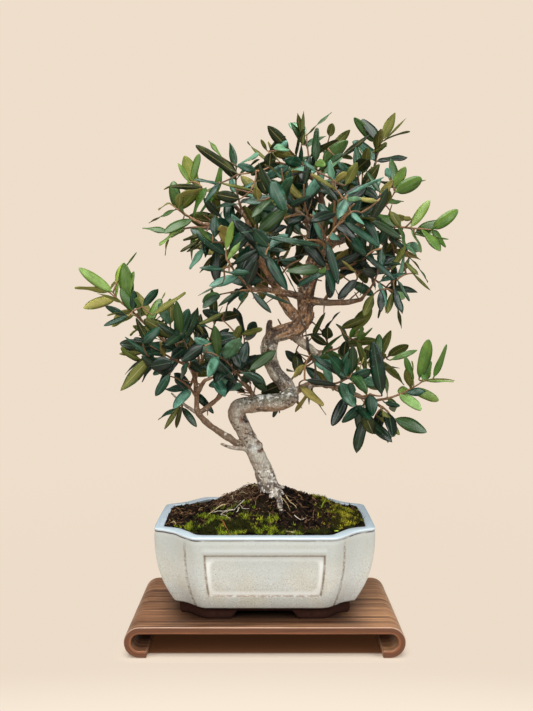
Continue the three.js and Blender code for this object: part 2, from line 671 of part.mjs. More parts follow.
// A leaf alone, from a share of its length to its tip, for testing what it would cross.
function leafAlone(leaf, from, clearance) {
  const width = from ? leaf.halfWidth * 0.8 : LEAF.baseHalfWidth;
  const points = leafRing(leaf, from, width + clearance, LEAF.thickness / 2 + clearance);
  const triangles = [[0, 2, 1], [0, 3, 2]];
  const stations = LEAF.stations.filter(([t]) => t > from);
  addBlade(leaf, points, triangles, [0, 1, 2, 3], stations, clearance);
  return solidFrom(geometryFrom(points, triangles));
}

// Twig and leaves as one skin: each leaf grows from a short stretch of one of the twig's flats.
function makeSpray(spray, leaves) {
  const reach = LEAF.baseHalfWidth / spray.length;
  const places = [(GAP + 0.05) / spray.length];
  for (let pair = 0; pair < spray.pairs; pair++) {
    places.push(pairPlace(spray, pair) - reach, pairPlace(spray, pair) + reach);
  }
  const points = places.flatMap((t) => twigRing(spray, t));
  const triangles = [[0, 2, 1], [0, 3, 2]];
  for (let ring = 0; ring + 1 < places.length; ring++)
    for (let flat = 0; flat < 4; flat++) {
      const [a, b] = [4 * ring + ((flat + 3) % 4), 4 * ring + flat];
      const loop = [a, b, b + 4, a + 4];
      const isHere = (leaf) => ring === 2 * leaf.pair + 1 && leaf.flat === flat;
      const leaf = leaves.find(isHere);
      if (leaf) addBlade(leaf, points, triangles, loop, LEAF.stations);
      else triangles.push([a, b, b + 4], [a, b + 4, a + 4]);
    }
  const end = 4 * (places.length - 1);
  triangles.push([end, end + 1, end + 2], [end, end + 2, end + 3]);
  return solidFrom(geometryFrom(points, triangles));
}

// ---------------------------------------------------------------- putting it together

const sprays = growSprays();

const footHole = unite([
  tube(grown(TRUNK[0], GAP + 0.15), 10, true),
  ...ROOTS.map((root) => tube(grown(rootStations(root), GAP + 0.15), 5)),
]);

function makeTree() {
  const trunk = TRUNK.map((run) => tube(run, 10, true));
  const roots = ROOTS.map((root) => tube(rootStations(root), 5));
  const limbs = LIMBS.map(({ path }) => tube(path, path[0][3] > 3.5 ? 5 : 4));
  const stubs = STUBS.map((stub) => tube(stub, 5));
  const branchlets = sprays.map(({ root, start, rootRadius }) =>
    tube([[...root, rootRadius], [...start, TWIG.root + 0.15]], 3),
  );
  return unite([...trunk, ...roots, ...limbs, ...stubs, ...branchlets]);
}

const touches = (a, b) => {
  const [p, q] = [a.boundingBox(), b.boundingBox()];
  const isClear = [0, 1, 2].some((i) => p.min[i] > q.max[i] || q.min[i] > p.max[i]);
  return !isClear && !a.intersect(b).isEmpty();
};

for (const line of [...TRUNK, ...LIMBS.map(({ path }) => path)]) grownPoints.push(...line);
for (const spray of sprays) {
  grownPoints.push(...[0.2, 0.5, 0.8, 1].map((t) => twigPoint(spray, t)));
}
const grownLeaves = sprays.map(growLeaves);

const soil = makeSoil(footHole);
const tree = makeTree();
const twigs = sprays.map((spray) => makeSpray(spray, []));

// Leaves go on one by one, and one that would cross the wood, a twig or another leaf is left out.
const placed = [];
const leavesOf = sprays.map((_, s) =>
  grownLeaves[s].filter((leaf) => {
    const whole = leafAlone(leaf, 0, GAP);
    const outer = leafAlone(leaf, 0.3, GAP);
    const crosses =
      touches(whole, tree) ||
      twigs.some((twig, i) => touches(i === s ? outer : whole, twig)) ||
      placed.some((other) => touches(whole, other.owner === s ? other.outer : other.whole)) ||
      placed.some((other) => other.owner === s && touches(outer, other.whole));
    if (crosses) return false;
    placed.push({ owner: s, whole: leafAlone(leaf, 0, 0), outer: leafAlone(leaf, 0.3, 0) });
    return true;
  }),
);

const MATERIALS = {
  wood: new THREE.MeshStandardMaterial({ color: 0x6b4630, roughness: 0.55, metalness: 0 }),
  glaze: new THREE.MeshStandardMaterial({ color: 0xd3d6cd, roughness: 0.3, metalness: 0 }),
  soil: new THREE.MeshStandardMaterial({ color: 0x2e241b, roughness: 0.95, metalness: 0 }),
  moss: new THREE.MeshStandardMaterial({ color: 0x54691f, roughness: 0.95, metalness: 0 }),
  bark: new THREE.MeshStandardMaterial({ color: 0x8f8170, roughness: 0.9, metalness: 0 }),
  leaf: new THREE.MeshStandardMaterial({ color: 0x2c5743, roughness: 0.5, metalness: 0 }),
};

const group = new THREE.Group();

function addNode(name, solid, material) {
  const mesh = new THREE.Mesh(geometryOf(solid), MATERIALS[material]);
  mesh.name = name;
  group.add(mesh);
}

addNode("stand", makeStand(), "wood");
addNode("pot", makePot(), "glaze");
addNode("soil", soil, "soil");
for (const cushion of MOSS) addNode(cushion.name, makeMoss(cushion, soil), "moss");
addNode("tree", tree, "bark");
sprays.forEach((spray, s) => {
  const number = String(s + 1).padStart(2, "0");
  addNode(`spray_${spray.pad}_${number}`, makeSpray(spray, leavesOf[s]), "leaf");
});

export default group;
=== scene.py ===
"""Olive bonsai in a glazed pot on a wooden stand: the looks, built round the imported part.

Shapes are in millimetres in the part's own frame, and become metres where a piece is made. The leafy
sprays grow by the same seeded rule as the part's own, so that each fine leaf lies in its solid one.
"""

import math
from types import SimpleNamespace

import bpy
import numpy as np
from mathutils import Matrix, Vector, kdtree


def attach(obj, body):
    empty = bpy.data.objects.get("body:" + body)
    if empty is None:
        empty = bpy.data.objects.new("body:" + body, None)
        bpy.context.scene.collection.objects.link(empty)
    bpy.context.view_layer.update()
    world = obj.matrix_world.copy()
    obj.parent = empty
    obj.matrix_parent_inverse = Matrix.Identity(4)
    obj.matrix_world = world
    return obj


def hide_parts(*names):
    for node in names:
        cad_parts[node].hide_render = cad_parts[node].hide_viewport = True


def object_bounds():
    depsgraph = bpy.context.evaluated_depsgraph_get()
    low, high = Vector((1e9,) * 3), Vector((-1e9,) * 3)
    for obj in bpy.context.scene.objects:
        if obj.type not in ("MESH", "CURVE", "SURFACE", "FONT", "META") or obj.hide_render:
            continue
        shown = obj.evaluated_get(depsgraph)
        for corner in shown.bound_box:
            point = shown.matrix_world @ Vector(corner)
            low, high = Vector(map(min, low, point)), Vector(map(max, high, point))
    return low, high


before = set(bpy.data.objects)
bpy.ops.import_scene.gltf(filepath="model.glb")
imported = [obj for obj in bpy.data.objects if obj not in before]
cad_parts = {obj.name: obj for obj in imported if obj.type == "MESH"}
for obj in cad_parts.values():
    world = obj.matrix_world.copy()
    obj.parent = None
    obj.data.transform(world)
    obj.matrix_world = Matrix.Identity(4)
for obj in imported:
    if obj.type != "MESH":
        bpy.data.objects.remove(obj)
cad_low, cad_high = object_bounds()

MM = 0.001

# ------------------------------------------------------------ dimensions shared with the part

STAND = {"length": 256, "depth": 132, "height": 28.5, "board": 6.5, "lip": 6}
POT = {
    "centre_y": 9.5, "height": 83, "foot_height": 10, "arch_height": 7.5, "arch_half_x": 33,
    "arch_slope": 7.5, "arch_half_y": 14, "rim": (105, 77, 70, 43), "base": (86, 57.5, 62, 37),
    "flare": 2.7, "edge": 1.6,
    "wall": 8, "floor": 7.5, "foot_inset": 3, "foot_taper": (0.96, 1), "drain_radius": 7, "drain_x": 38,
}
PANEL = {"depth": 1.7, "long_share": 0.785, "short_share": 0.62, "low": 15, "high": 16.5}
SOIL = {"below_rim": 3, "mound": 33, "mound_x": 60, "mound_y": 39, "centre": (2, 8)}
TWIG_REACH = 42
TOP = STAND["height"]
RIM_Z = TOP + POT["height"]
BASE_Z = TOP + POT["foot_height"]
FLOOR_Z = BASE_Z + POT["floor"]
PANEL_LOW, PANEL_HIGH = BASE_Z + PANEL["low"], RIM_Z - PANEL["high"]
FOOT_CENTRE = (9, 4)

# Wood runs through stations (x, y, z, radius). The tips of the sprays are (x, y, z), some of them with
# how much further out the spray starts.
TRUNK = [
    [(13, 2, 88, 12), (12, 2.5, 108, 14), (9, 3.5, 124, 13.4), (5, 4, 138, 11.6), (-1, 5, 160, 10.4),
     (-11, 5, 180, 10.3), (-18, 4, 195, 9.7), (-23, 3, 208, 9.5), (-25, 2, 215, 8.6)],
    [(-24, 1, 219, 8), (-14, -1, 224, 8), (-5, -3, 225.5, 7.7), (11, -5, 226, 7.9), (21, -5, 229, 8),
     (26, -3, 234, 7.8)],
    [(25, -1, 234, 7.6), (19, 5, 245, 7.6), (11, 7, 254, 7.4), (5, 6.5, 266, 7.3), (4, 4, 280, 8),
     (9, 2, 290, 8), (20, 0, 295, 7.8), (32, 0, 299, 7.5), (39, 1, 308, 7.2), (40, 2, 318, 7.2),
     (39, 3, 327, 7.8), (42, 4, 338, 8.2), (45, 5, 349, 7.4), (46, 6, 361, 6.4), (50, 6, 374, 5.2),
     (54, 4, 390, 4), (57, 0, 406, 3)],
]
LIMBS = [
    ("crown", [(37, 0, 303, 5.6), (22, -2, 318, 5), (12, -4, 336, 4.4), (0, -8, 356, 3.6),
               (-18, -12, 378, 2.8), (-42, -12, 392, 2.2), (-60, -9, 398, 1.7)]),
    ("crown", [(12, -4, 336, 3.4), (2, -20, 352, 2.8), (-4, -34, 362, 2)]),
    ("crown", [(0, -8, 356, 3.4), (-10, 0, 382, 2.8), (-18, 2, 404, 2.2), (-30, 5, 418, 1.7)]),
    ("crown", [(57, 0, 406, 3), (54, -2, 426, 2.3), (47, -2, 440, 1.8)]),
    ("crown", [(46, 6, 361, 5), (64, 2, 378, 4), (82, -2, 392, 3.2), (100, -6, 399, 2.5),
               (118, -8, 396, 1.9)]),
    ("crown", [(82, -2, 392, 2.8), (90, -4, 412, 2.3), (98, -2, 430, 1.8)]),
    ("crown", [(45, 5, 349, 4), (50, -14, 360, 3.4), (58, -32, 374, 2.6), (62, -42, 386, 2)]),
    ("crown", [(46, 6, 361, 4), (48, 22, 374, 3.3), (46, 36, 388, 2.6), (42, 44, 404, 1.9)]),
    ("crown", [(64, 2, 378, 3), (76, 18, 384, 2.5), (88, 30, 388, 1.9)]),
    ("crown", [(0, -8, 356, 3), (-8, 12, 370, 2.5), (-20, 26, 380, 1.9)]),
    ("crown", [(38, 2, 328, 4), (22, -8, 332, 3.2), (6, -16, 334, 2.6), (-12, -24, 335, 2)]),
    ("crown", [(42, 2, 325, 4.5), (60, -4, 323, 3.2), (76, -8, 323, 2.6), (92, -10, 326, 2)]),
    ("crown", [(46, 6, 361, 3.4), (62, -10, 357, 2.8), (78, -20, 356, 2)]),
    ("crown", [(54, 4, 390, 3), (40, -14, 402, 2.4), (28, -28, 408, 1.9)]),
    ("left", [(-14, 4, 178, 5), (-27, 2, 185, 4.4), (-47, -4, 199, 3.8), (-64, -8, 215, 3.4),
              (-66, -8, 234, 2.9), (-68, -8, 252, 2.5), (-78, -8, 268, 2.2), (-94, -7, 284, 1.9),
              (-108, -4, 296, 1.6)]),
    ("left", [(-64, -8, 215, 2.8), (-50, -5, 226, 2.3), (-36, -1, 240, 1.8)]),
    ("left", [(-66, -8, 234, 2.5), (-60, -20, 244, 2.1), (-56, -30, 250, 1.7)]),
    ("left", [(-68, -8, 252, 2.4), (-66, 10, 260, 2), (-62, 22, 268, 1.6)]),
    ("left", [(-8, -2, 226, 3.2), (-13, -4, 236, 2.2)]),
    ("right", [(24, 1, 294, 4.5), (46, 4, 277, 3.6), (62, 8, 267, 2.8), (80, 12, 262, 2.1)]),
    ("right", [(26, -3, 236, 4), (50, -12, 245, 2.9), (74, -22, 241, 2.4), (92, -27, 234, 2),
               (104, -30, 231, 1.7)]),
    ("right", [(46, 4, 277, 2.8), (46, 18, 268, 2.3), (38, 26, 260, 1.8)]),
]
ROOTS = [  # way in degrees, length and radius
    (-75, 33, 4.6), (-145, 22, 5), (165, 20, 4.5), (15, 17, 3), (90, 21, 5), (-104, 21, 3.4), (-45, 20, 3),
]
STUBS = [
    [(-62, -8, 214, 2.2), (-78, -10, 225, 1.5), (-90, -11, 236, 1)],
    [(-18, 2, 180, 2.6), (-32, 0, 181, 1.9), (-43, -1, 185, 1.3)],
    [(5, 3, 284, 4.8), (4, 2, 296, 3.4), (5, 2, 305, 2.6)],
    [(-6, 4, 180, 5), (4, 1, 181, 4.4), (8, 0, 182, 3.4)],
    [(26, -3, 300, 2.4), (34, -8, 311, 1.6)],
    [(40, 3, 318, 2.4), (58, -1, 326, 1.3)],
]
# The trunk as it looks, a little slimmer and further to the left than the solid one.
TRUNK_FINE = [
    [(13, 2, 88, 12), (12, 2.5, 108, 13.6), (9, 3.5, 124, 12.8), (4.4, 4, 138, 10.8), (-2.2, 5, 160, 8.9),
     (-11.6, 5, 180, 8.4), (-19.2, 4, 195, 8.2), (-25, 3, 207, 8.6), (-27.6, 2, 214, 8.4),
     (-25, 0.5, 220.5, 8.3), *[(x, y, z, 1.1 * r) for x, y, z, r in TRUNK[1][1:]]],
    TRUNK[2],
]
LEFT_LIMB = 14
KNOB = [(-10, 3, 182.4, 5), (-4.8, 0.4, 182.6, 4)]
PAD_CENTRES = {"crown": (36, 0, 388), "left": (-70, -4, 262), "right": (84, -4, 256)}
TIPS = {
    "crown": [
        (40, 0, 484), (64, 20, 474), (111, 0, 477), (123, -15, 428, 8), (160, -10, 392), (141, 5, 366),
        (123, -12, 330), (-73, 15, 438), (-27, -10, 452), (-93, 8, 420), (-92, 0, 390, 8), (-57, -25, 372),
        (-36, -44, 378, 4), (-42, -30, 330, 10), (47, -30, 452), (83, -35, 445), (7, -62, 416),
        (-6, -66, 384), (64, -70, 410), (96, -56, 396), (104, -38, 366), (-50, 46, 412), (-8, 56, 436),
        (36, 58, 450), (82, 50, 438), (117, 40, 404), (92, 56, 366), (38, 63, 394, 8), (-4, 54, 360),
        (-50, 40, 372), (50, -50, 352),
    ],
    "left": [
        (-154, 14, 334), (-126, -10, 314, 14), (-118, -18, 268), (-91, -28, 254), (-80, -12, 222, 11),
        (-49, 12, 306), (-43, -48, 274), (-77, -40, 294), (-20, 10, 288), (-14, -24, 258), (-78, 38, 288),
        (-36, 38, 272),
    ],
    "right": [
        (47, 18, 304, 4), (88, 26, 292, 6), (123, 14, 270), (147, -36, 250), (120, -34, 214, 8),
        (94, -34, 214, 6), (80, -50, 258), (54, -12, 272), (46, 10, 236), (18, 30, 232),
    ],
}
# Weights for the choice of each spray's place on the limbs.
COST = {"short_reach": 40, "short": 3, "turn": 22, "crowded": 8, "crowd": 20, "clear": 4, "hit": 30}

# ------------------------------------------------------------ numbers, vectors and noise


def vec(*numbers):
    return np.array(numbers, float)


def unit(a):
    return a / math.sqrt(a[0] * a[0] + a[1] * a[1] + a[2] * a[2])


def mix(a, b, t):
    return a + (b - a) * t


def step(low, high, value):
    t = np.clip((value - low) / (high - low), 0, 1)
    return t * t * (3 - 2 * t)


UP = vec(0, 0, 1)
WORD = 0xFFFFFFFF


def stream(seed):
    """The part's own seeded stream of numbers from 0 to 1."""
    state = seed

    def draw():
        nonlocal state
        state = (state + 0x6D2B79F5) & WORD
        t = ((state ^ (state >> 15)) * (state | 1)) & WORD
        t ^= (t + ((t ^ (t >> 7)) * (t | 61) & WORD)) & WORD
        return ((t ^ (t >> 14)) & WORD) / 4294967296

    return draw


def lattice(places, seed):
    n = places[..., 0] * 73856093 ^ places[..., 1] * 19349663 ^ places[..., 2] * 83492791 ^ seed * 7919
    n = (n ^ (n >> 13)) * 1274126177
    n = n ^ (n >> 16)
    return (n & 0xFFFFFF) / 0x7FFFFF - 1


def noise(points, size, seed):
    """Smooth noise from -1 to 1, with bumps about `size` across. Size may differ along X, Y and Z."""
    p = np.asarray(points, float) / size
    base = np.floor(p).astype(np.int64)
    f = p - base
    f = f * f * (3 - 2 * f)
    total = 0
    for corner in np.ndindex(2, 2, 2):
        weight = np.prod(np.where(corner, f, 1 - f), axis=-1)
        total = total + weight * lattice(base + corner, seed)
    return total


# ------------------------------------------------------------ meshes


class Skin:
    """Points, faces and looks of one piece, gathered part by part."""

    def __init__(self):
        self.points, self.faces, self.kinds, self.looks = [], [], [], []
        self.count = 0

    def add(self, points, faces, kind, look):
        """Faces are one array, or a tuple of arrays. Kinds repeat along the faces of each."""
        for group in faces if isinstance(faces, tuple) else (faces,):
            self.faces.append(np.asarray(group) + self.count)
            self.kinds.append(np.resize(kind, len(group)))
        self.points.append(np.asarray(points, float))
        self.looks.append(np.broadcast_to(np.asarray(look, float), (len(points), 4)))
        self.count += len(points)


def make_mesh(name, skin):
    """A Blender mesh from a skin, kept inside the box of the solids."""
    points = np.clip(np.concatenate(skin.points) * MM, cad_low, cad_high)
    mesh = bpy.data.meshes.new(name)
    mesh.from_pydata(points.tolist(), [], [face for group in skin.faces for face in group.tolist()])
    mesh.polygons.foreach_set("material_index", np.concatenate(skin.kinds).astype(np.int32))
    put_look(mesh, np.concatenate(skin.looks))
    mesh.shade_smooth()
    return mesh


def put_look(mesh, values):
    """Stores the four numbers that the materials read at each point."""
    attribute = mesh.attributes.new("look", "FLOAT_COLOR", "POINT")
    attribute.data.foreach_set("color", values.astype(np.float32).ravel())


def put_object(name, data):
    piece = bpy.data.objects.new(name, data)
    bpy.context.scene.collection.objects.link(piece)
    return piece


def dress(name, mesh, materials, replaces=()):
    """Makes the piece, gives it its materials, puts it under the root body, and hides the solids that it
    replaces.
    """
    piece = put_object(name, mesh)
    for one in materials:
        mesh.materials.append(one)
    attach(piece, "root")
    if replaces:
        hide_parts(*replaces)


def read_points(mesh, key):
    found = np.zeros(len(mesh.vertices) * 3, np.float32)
    mesh.vertices.foreach_get(key, found)
    return found.reshape(-1, 3).astype(float)


def places_of(mesh):
    return read_points(mesh, "co") / MM


def band(rows, count):
    """Quads between rings of `count` points."""
    i = np.arange(count)
    j = (i + 1) % count
    starts = np.arange(rows - 1)[:, None] * count
    quads = np.stack([starts + i, starts + j, starts + j + count, starts + i + count], -1)
    return quads.reshape(-1, 4)


def closed_faces(rows, count):
    """Quads between rings, and triangles from the two ends to the two points after the last ring."""
    i = np.arange(count)
    j = (i + 1) % count
    middle, end = np.full(count, rows * count), (rows - 1) * count
    ends = np.column_stack([middle, j, i, middle + 1, end + i, end + j])
    return band(rows, count), ends.reshape(-1, 3)


def closed(rings):
    """Points and faces of a closed form through rings of points."""
    points = np.vstack([*rings, rings[0].mean(axis=0), rings[-1].mean(axis=0)])
    return points, closed_faces(len(rings), len(rings[0]))


def smooth_path(stations, spacing):
    """Catmull-Rom curve through stations of [x, y, z, radius]."""
    p = np.array(stations, float)
    ends = np.vstack([2 * p[0] - p[1], p, 2 * p[-1] - p[-2]])
    out = []
    for i in range(len(p) - 1):
        a, b, c, d = ends[i : i + 4]
        count = max(int(np.linalg.norm((c - b)[:3]) / spacing), 1)
        for t in np.arange(count) / count:
            curve = 2 * b + (c - a) * t + (2 * a - 5 * b + 4 * c - d) * t**2 + (3 * b - a - 3 * c + d) * t**3
            out.append(0.5 * curve)
    out.append(p[-1])
    return np.array(out)


def frames_along(path):
    """The way a path runs at each point, and two directions across it that don't twist."""
    way = np.gradient(path[:, :3], axis=0)
    way /= np.linalg.norm(way, axis=1)[:, None]
    side = np.zeros_like(way)
    last = UP if abs(way[0][2]) < 0.9 else vec(1, 0, 0)
    for i, w in enumerate(way):
        last = last - w * (last @ w)
        last = last / np.linalg.norm(last)
        side[i] = last
    return way, side, np.cross(way, side)


BLUNT = 0.5  # how far a tube's rounded end reaches past its path, as a share of the radius there
END_RADIUS = 0.6  # radius of the end's last ring, as a share of the same


def tube(path, sides):
    """Points and faces of a closed tube along a path of [x, y, z, radius], with rounded ends."""
    way, side, third = frames_along(path)
    head, tail = path[0].copy(), path[-1].copy()
    head[:3] -= way[0] * head[3] * BLUNT
    tail[:3] += way[-1] * tail[3] * BLUNT
    head[3] *= END_RADIUS
    tail[3] *= END_RADIUS
    path = np.vstack([head, path, tail])
    side = np.vstack([side[:1], side, side[-1:]])
    third = np.vstack([third[:1], third, third[-1:]])
    angles = 2 * math.pi * np.arange(sides) / sides
    arms = side[:, None] * np.cos(angles)[:, None] + third[:, None] * np.sin(angles)[:, None]
    points = (path[:, None, :3] + arms * path[:, None, 3:]).reshape(-1, 3)
    return np.vstack([points, path[0, :3], path[-1, :3]]), closed_faces(len(path), sides)


def add_tube(skin, path, sides, kind=0, tone=0.5):
    points, faces = tube(path, sides)
    skin.add(points, faces, kind, (0, 0, tone, 0))


# ------------------------------------------------------------ materials


def srgb(*values):
    """A linear colour from sRGB numbers up to 255."""
    return tuple(v / 3294.6 if v < 10.3 else ((v / 255 + 0.055) / 1.055) ** 2.4 for v in values)


def paint(colour):
    """What a colour socket takes, from three sRGB numbers or from another node."""
    return (*srgb(*colour), 1.0) if isinstance(colour, tuple) else colour


def sum_node(operation):
    return lambda wire, other=0.0: wire.graph.math(operation, wire, other)


class Wire:
    """The output of a node. Sums with it add math nodes."""

    def __init__(self, graph, socket):
        self.graph, self.socket = graph, socket

    __add__, __sub__ = sum_node("ADD"), sum_node("SUBTRACT")
    __mul__, __truediv__ = sum_node("MULTIPLY"), sum_node("DIVIDE")
    __abs__ = sum_node("ABSOLUTE")


class Graph:
    """A node tree under construction."""

    def __init__(self, tree):
        self.tree = tree

    def add(self, kind, inputs, output=0, **settings):
        """Adds a node and gives one of its outputs."""
        node = self.tree.nodes.new(kind)
        for key, value in settings.items():
            setattr(node, key, value)
        for key, value in inputs.items():
            if isinstance(value, Wire):
                self.tree.links.new(value.socket, node.inputs[key])
            else:
                node.inputs[key].default_value = value
        return Wire(self, node.outputs[output])

    def split(self, wire, kind="ShaderNodeSeparateColor", key="Color"):
        parts = self.add(kind, {key: wire}).socket.node.outputs
        return [Wire(self, socket) for socket in parts]

    def axes(self, wire):
        return self.split(wire, "ShaderNodeSeparateXYZ", "Vector")

    def look(self):
        """What the mesh stores at each point: its first three numbers as a colour, and all four."""
        colour = self.add("ShaderNodeAttribute", {}, "Color", attribute_name="look")
        return colour, *self.split(colour), Wire(self, colour.socket.node.outputs["Alpha"])

    def place(self):
        return self.add("ShaderNodeTexCoord", {}, "Object")

    def stretch(self, vector, scale):
        return self.add("ShaderNodeMapping", {"Vector": vector, "Scale": scale})

    def noise(self, vector, scale, detail=4, roughness=0.55):
        inputs = {"Vector": vector, "Scale": scale, "Detail": detail, "Roughness": roughness}
        return self.add("ShaderNodeTexNoise", inputs, "Fac")

    def cells(self, vector, scale):
        return self.add("ShaderNodeTexVoronoi", {"Vector": vector, "Scale": scale}, "Distance")

    def span(self, value, low, high, out_low=0.0, out_high=1.0):
        """A soft step from one value at `low` to another at `high`."""
        inputs = {"Value": value, "From Min": low, "From Max": high, "To Min": out_low, "To Max": out_high}
        return self.add("ShaderNodeMapRange", inputs, interpolation_type="SMOOTHSTEP")

    def between(self, value, low, rise, fall, high):
        """1 between `rise` and `fall`, falling to 0 at `low` and `high`."""
        return self.span(value, low, rise) * self.span(value, fall, high, 1, 0)

    def math(self, operation, a, b=0.0):
        return self.add("ShaderNodeMath", {0: a, 1: b}, operation=operation)

    def radius(self, a, b):
        return self.math("SQRT", a * a + b * b)

    def mix(self, factor, a, b):
        return self.add("ShaderNodeMix", {0: factor, 6: paint(a), 7: paint(b)}, 2, data_type="RGBA")

    def bump(self, height, distance, strength):
        inputs = {"Height": height, "Distance": distance, "Strength": strength}
        return self.add("ShaderNodeBump", inputs)

    def surface(self, wire, output):
        self.tree.links.new(wire.socket, self.tree.nodes[output].inputs["Surface"])


class Nodes(Graph):
    """A procedural material under construction, with the colour that its surface has so far."""

    def __init__(self, name, roughness, gloss=0.5):
        self.material = bpy.data.materials.new(name)
        self.material.use_nodes = True
        super().__init__(self.material.node_tree)
        self.shader = self.tree.nodes["Principled BSDF"]
        self.shader.inputs["Roughness"].default_value = roughness
        self.shader.inputs["Specular IOR Level"].default_value = gloss
        self.colour = None

    def lay(self, amount, colour):
        """Mixes the surface's colour toward another."""
        self.colour = self.mix(amount, self.colour, colour)

    def done(self, **wires):
        """Links the colour, and the other sockets given, to the surface."""
        for key, wire in {"Base_Color": self.colour, **wires}.items():
            self.tree.links.new(wire.socket, self.shader.inputs[key.replace("_", " ")])
        return self.material


# ------------------------------------------------------------ the growth rule for the sprays


def along_path(path, share):
    """Point, direction and radius on a limb, at a share of its length."""
    points = [vec(*p[:3]) for p in path]
    pieces = [math.hypot(*(b - a)) for a, b in zip(points, points[1:])]
    left = share * sum(pieces)
    for i, piece in enumerate(pieces):
        if left <= piece or i == len(pieces) - 1:
            t = min(left / piece, 1)
            way = points[i + 1] - points[i]
            radius = mix(path[i][3], path[i + 1][3], t)
            return {"point": points[i] + way * t, "way": unit(way), "radius": radius}
        left -= piece


def cheapest(items, price):
    prices = [price(item) for item in items]
    return items[prices.index(min(prices))]


def grow_sprays():
    spots = [
        {"pad": pad, "share": share, **along_path(path, share)}
        for pad, path in LIMBS
        for share in (1, 0.9, 0.8, 0.7, 0.6, 0.5, 0.4)
    ]
    paths = [*TRUNK, *[path for _, path in LIMBS]]
    wood = [along_path(path, i / 15) for path in paths for i in range(16)]
    wood_points = np.array([w["point"] for w in wood])
    wood_reach = np.array([w["radius"] for w in wood]) + COST["clear"]
    used = []

    def cost(tip, spot):
        way = tip - spot["point"]
        far = math.hypot(*way)
        turn = 1 - unit(way) @ spot["way"]
        crowd = sum(math.hypot(*(point - spot["point"])) < COST["crowded"] for point in used)
        line = spot["point"] + way * np.array([0.4, 0.55, 0.7, 0.85, 1])[:, None]
        gaps = np.linalg.norm(line[:, None] - wood_points[None], axis=2)
        hits = np.count_nonzero((gaps < wood_reach).any(axis=1))
        short = max(COST["short_reach"] - far, 0)
        reach = max(far, TWIG_REACH) + COST["short"] * short
        return reach + COST["turn"] * turn + COST["crowd"] * crowd + COST["hit"] * hits

    shoots = [
        {"pad": pad, "tip": vec(*tip[:3]), "more": tip[3] if len(tip) > 3 else 0, "spot": None}
        for pad, tips in TIPS.items()
        for tip in tips
    ]
    for end in [spot for spot in spots if spot["share"] == 1]:
        free = [s for s in shoots if s["pad"] == end["pad"] and not s["spot"]]
        cheapest(free, lambda s: cost(s["tip"], end))["spot"] = end
    for shoot in shoots:
        if not shoot["spot"]:
            near = [spot for spot in spots if spot["pad"] == shoot["pad"]]
            shoot["spot"] = cheapest(near, lambda spot: cost(shoot["tip"], spot))
        used.append(shoot["spot"]["point"])
    return [grow_spray(index, **shoot) for index, shoot in enumerate(shoots)]


def grow_spray(index, pad, tip, more, spot, reach=TWIG_REACH):
    random = stream(1000 + index)
    way = tip - spot["point"]
    heading = unit(unit(way) + spot["way"] * 0.5)
    stem = max(math.hypot(*way) - reach, spot["radius"] + 5) + more
    start = spot["point"] + heading * stem
    chord = tip - start
    length = math.hypot(*chord)
    level = unit(np.cross(heading, UP if abs(heading[2]) < 0.9 else vec(1, 0, 0)))
    turn = math.pi * random()
    return {
        "pad": pad,
        "root": spot["point"],
        "root_radius": min(spot["radius"], 2),
        "start": start,
        "heading": heading,
        "chord": chord,
        "bow": heading * length - chord,
        "side": level * math.cos(turn) + np.cross(heading, level) * math.sin(turn),
        "length": length,
        "pairs": min(max(math.floor(length / 9.2 + 0.5), 3), 5),
        "seed": 5000 + index,
    }


def twig_point(spray, t):
    return spray["start"] + spray["chord"] * t + spray["bow"] * (t * (1 - t))


def twig_frame(spray, t):
    way = unit(twig_point(spray, t + 0.01) - twig_point(spray, t - 0.01))
    first = unit(spray["side"] - way * (way @ spray["side"]))
    return way, (first, np.cross(way, first))


def pair_place(spray, pair):
    return mix(0.1, 0.965, pair / (spray["pairs"] - 1))


def leaf_line(leaf, t):
    """Points of a leaf's middle at the shares t of its length."""
    t = np.asarray(t, float)[..., None]
    drop = leaf["sag"] * leaf["length"] * t * t
    return leaf["root"] + leaf["heading"] * (leaf["length"] * t) - leaf["normal"] * drop


grown_points = []


def grow_leaves(spray, size=1.0, loose=False):
    random = stream(spray["seed"])

    def jitter(amount):
        return amount * (random() - 0.5)

    outward = unit(twig_point(spray, 1) - vec(*PAD_CENTRES[spray["pad"]]))
    lean = 0.5 if outward[1] > 0.25 else -0.5
    facing = vec(0.5 * outward[0], 1.1 * outward[1] + lean, 0.55) * (0.45 if loose else 1)
    spread = 2.2 if loose else 1.2
    leaves = []
    for pair in range(spray["pairs"]):
        for flat in range(pair % 2, 4, 2):
            t = pair_place(spray, pair)
            way, sides = twig_frame(spray, t)
            radial = sides[flat % 2] * (1 if flat < 2 else -1)
            length = size * (24 + 9 * math.sin(math.pi * (0.15 + 0.65 * t))) * (1 + jitter(0.3))
            half_width = length * (0.2 + jitter(0.05))
            sag = 0.17 + jitter(0.14)
            options = []
            for _ in range(8):
                angle = mix(1.15, 0.55, t) + jitter(0.5)
                swing = jitter(1)
                aside = radial * math.cos(swing) + np.cross(way, radial) * math.sin(swing)
                heading = unit(way * math.cos(angle) + aside * math.sin(angle))
                wanted = facing + vec(jitter(spread), jitter(spread), jitter(spread))
                normal = unit(wanted - heading * (wanted @ heading))
                options.append({
                    "root": twig_point(spray, t), "heading": heading, "normal": normal, "length": length,
                    "half_width": half_width, "sag": sag, "place": t,
                })
            rooms = [room_of(option) for option in options]
            leaf = options[rooms.index(max(rooms))]
            leaf["room"] = max(rooms)
            leaves.append(leaf)
            grown_points.extend(leaf_line(leaf, [0.25, 0.5, 0.75, 1]))
    return leaves


def room_of(leaf):
    marks = leaf_line(leaf, [0.45, 0.72, 1])
    gaps = (marks[:, None] - np.array(grown_points)[None]) ** 2
    return ((gaps[..., 0] + gaps[..., 1]) + gaps[..., 2]).min()


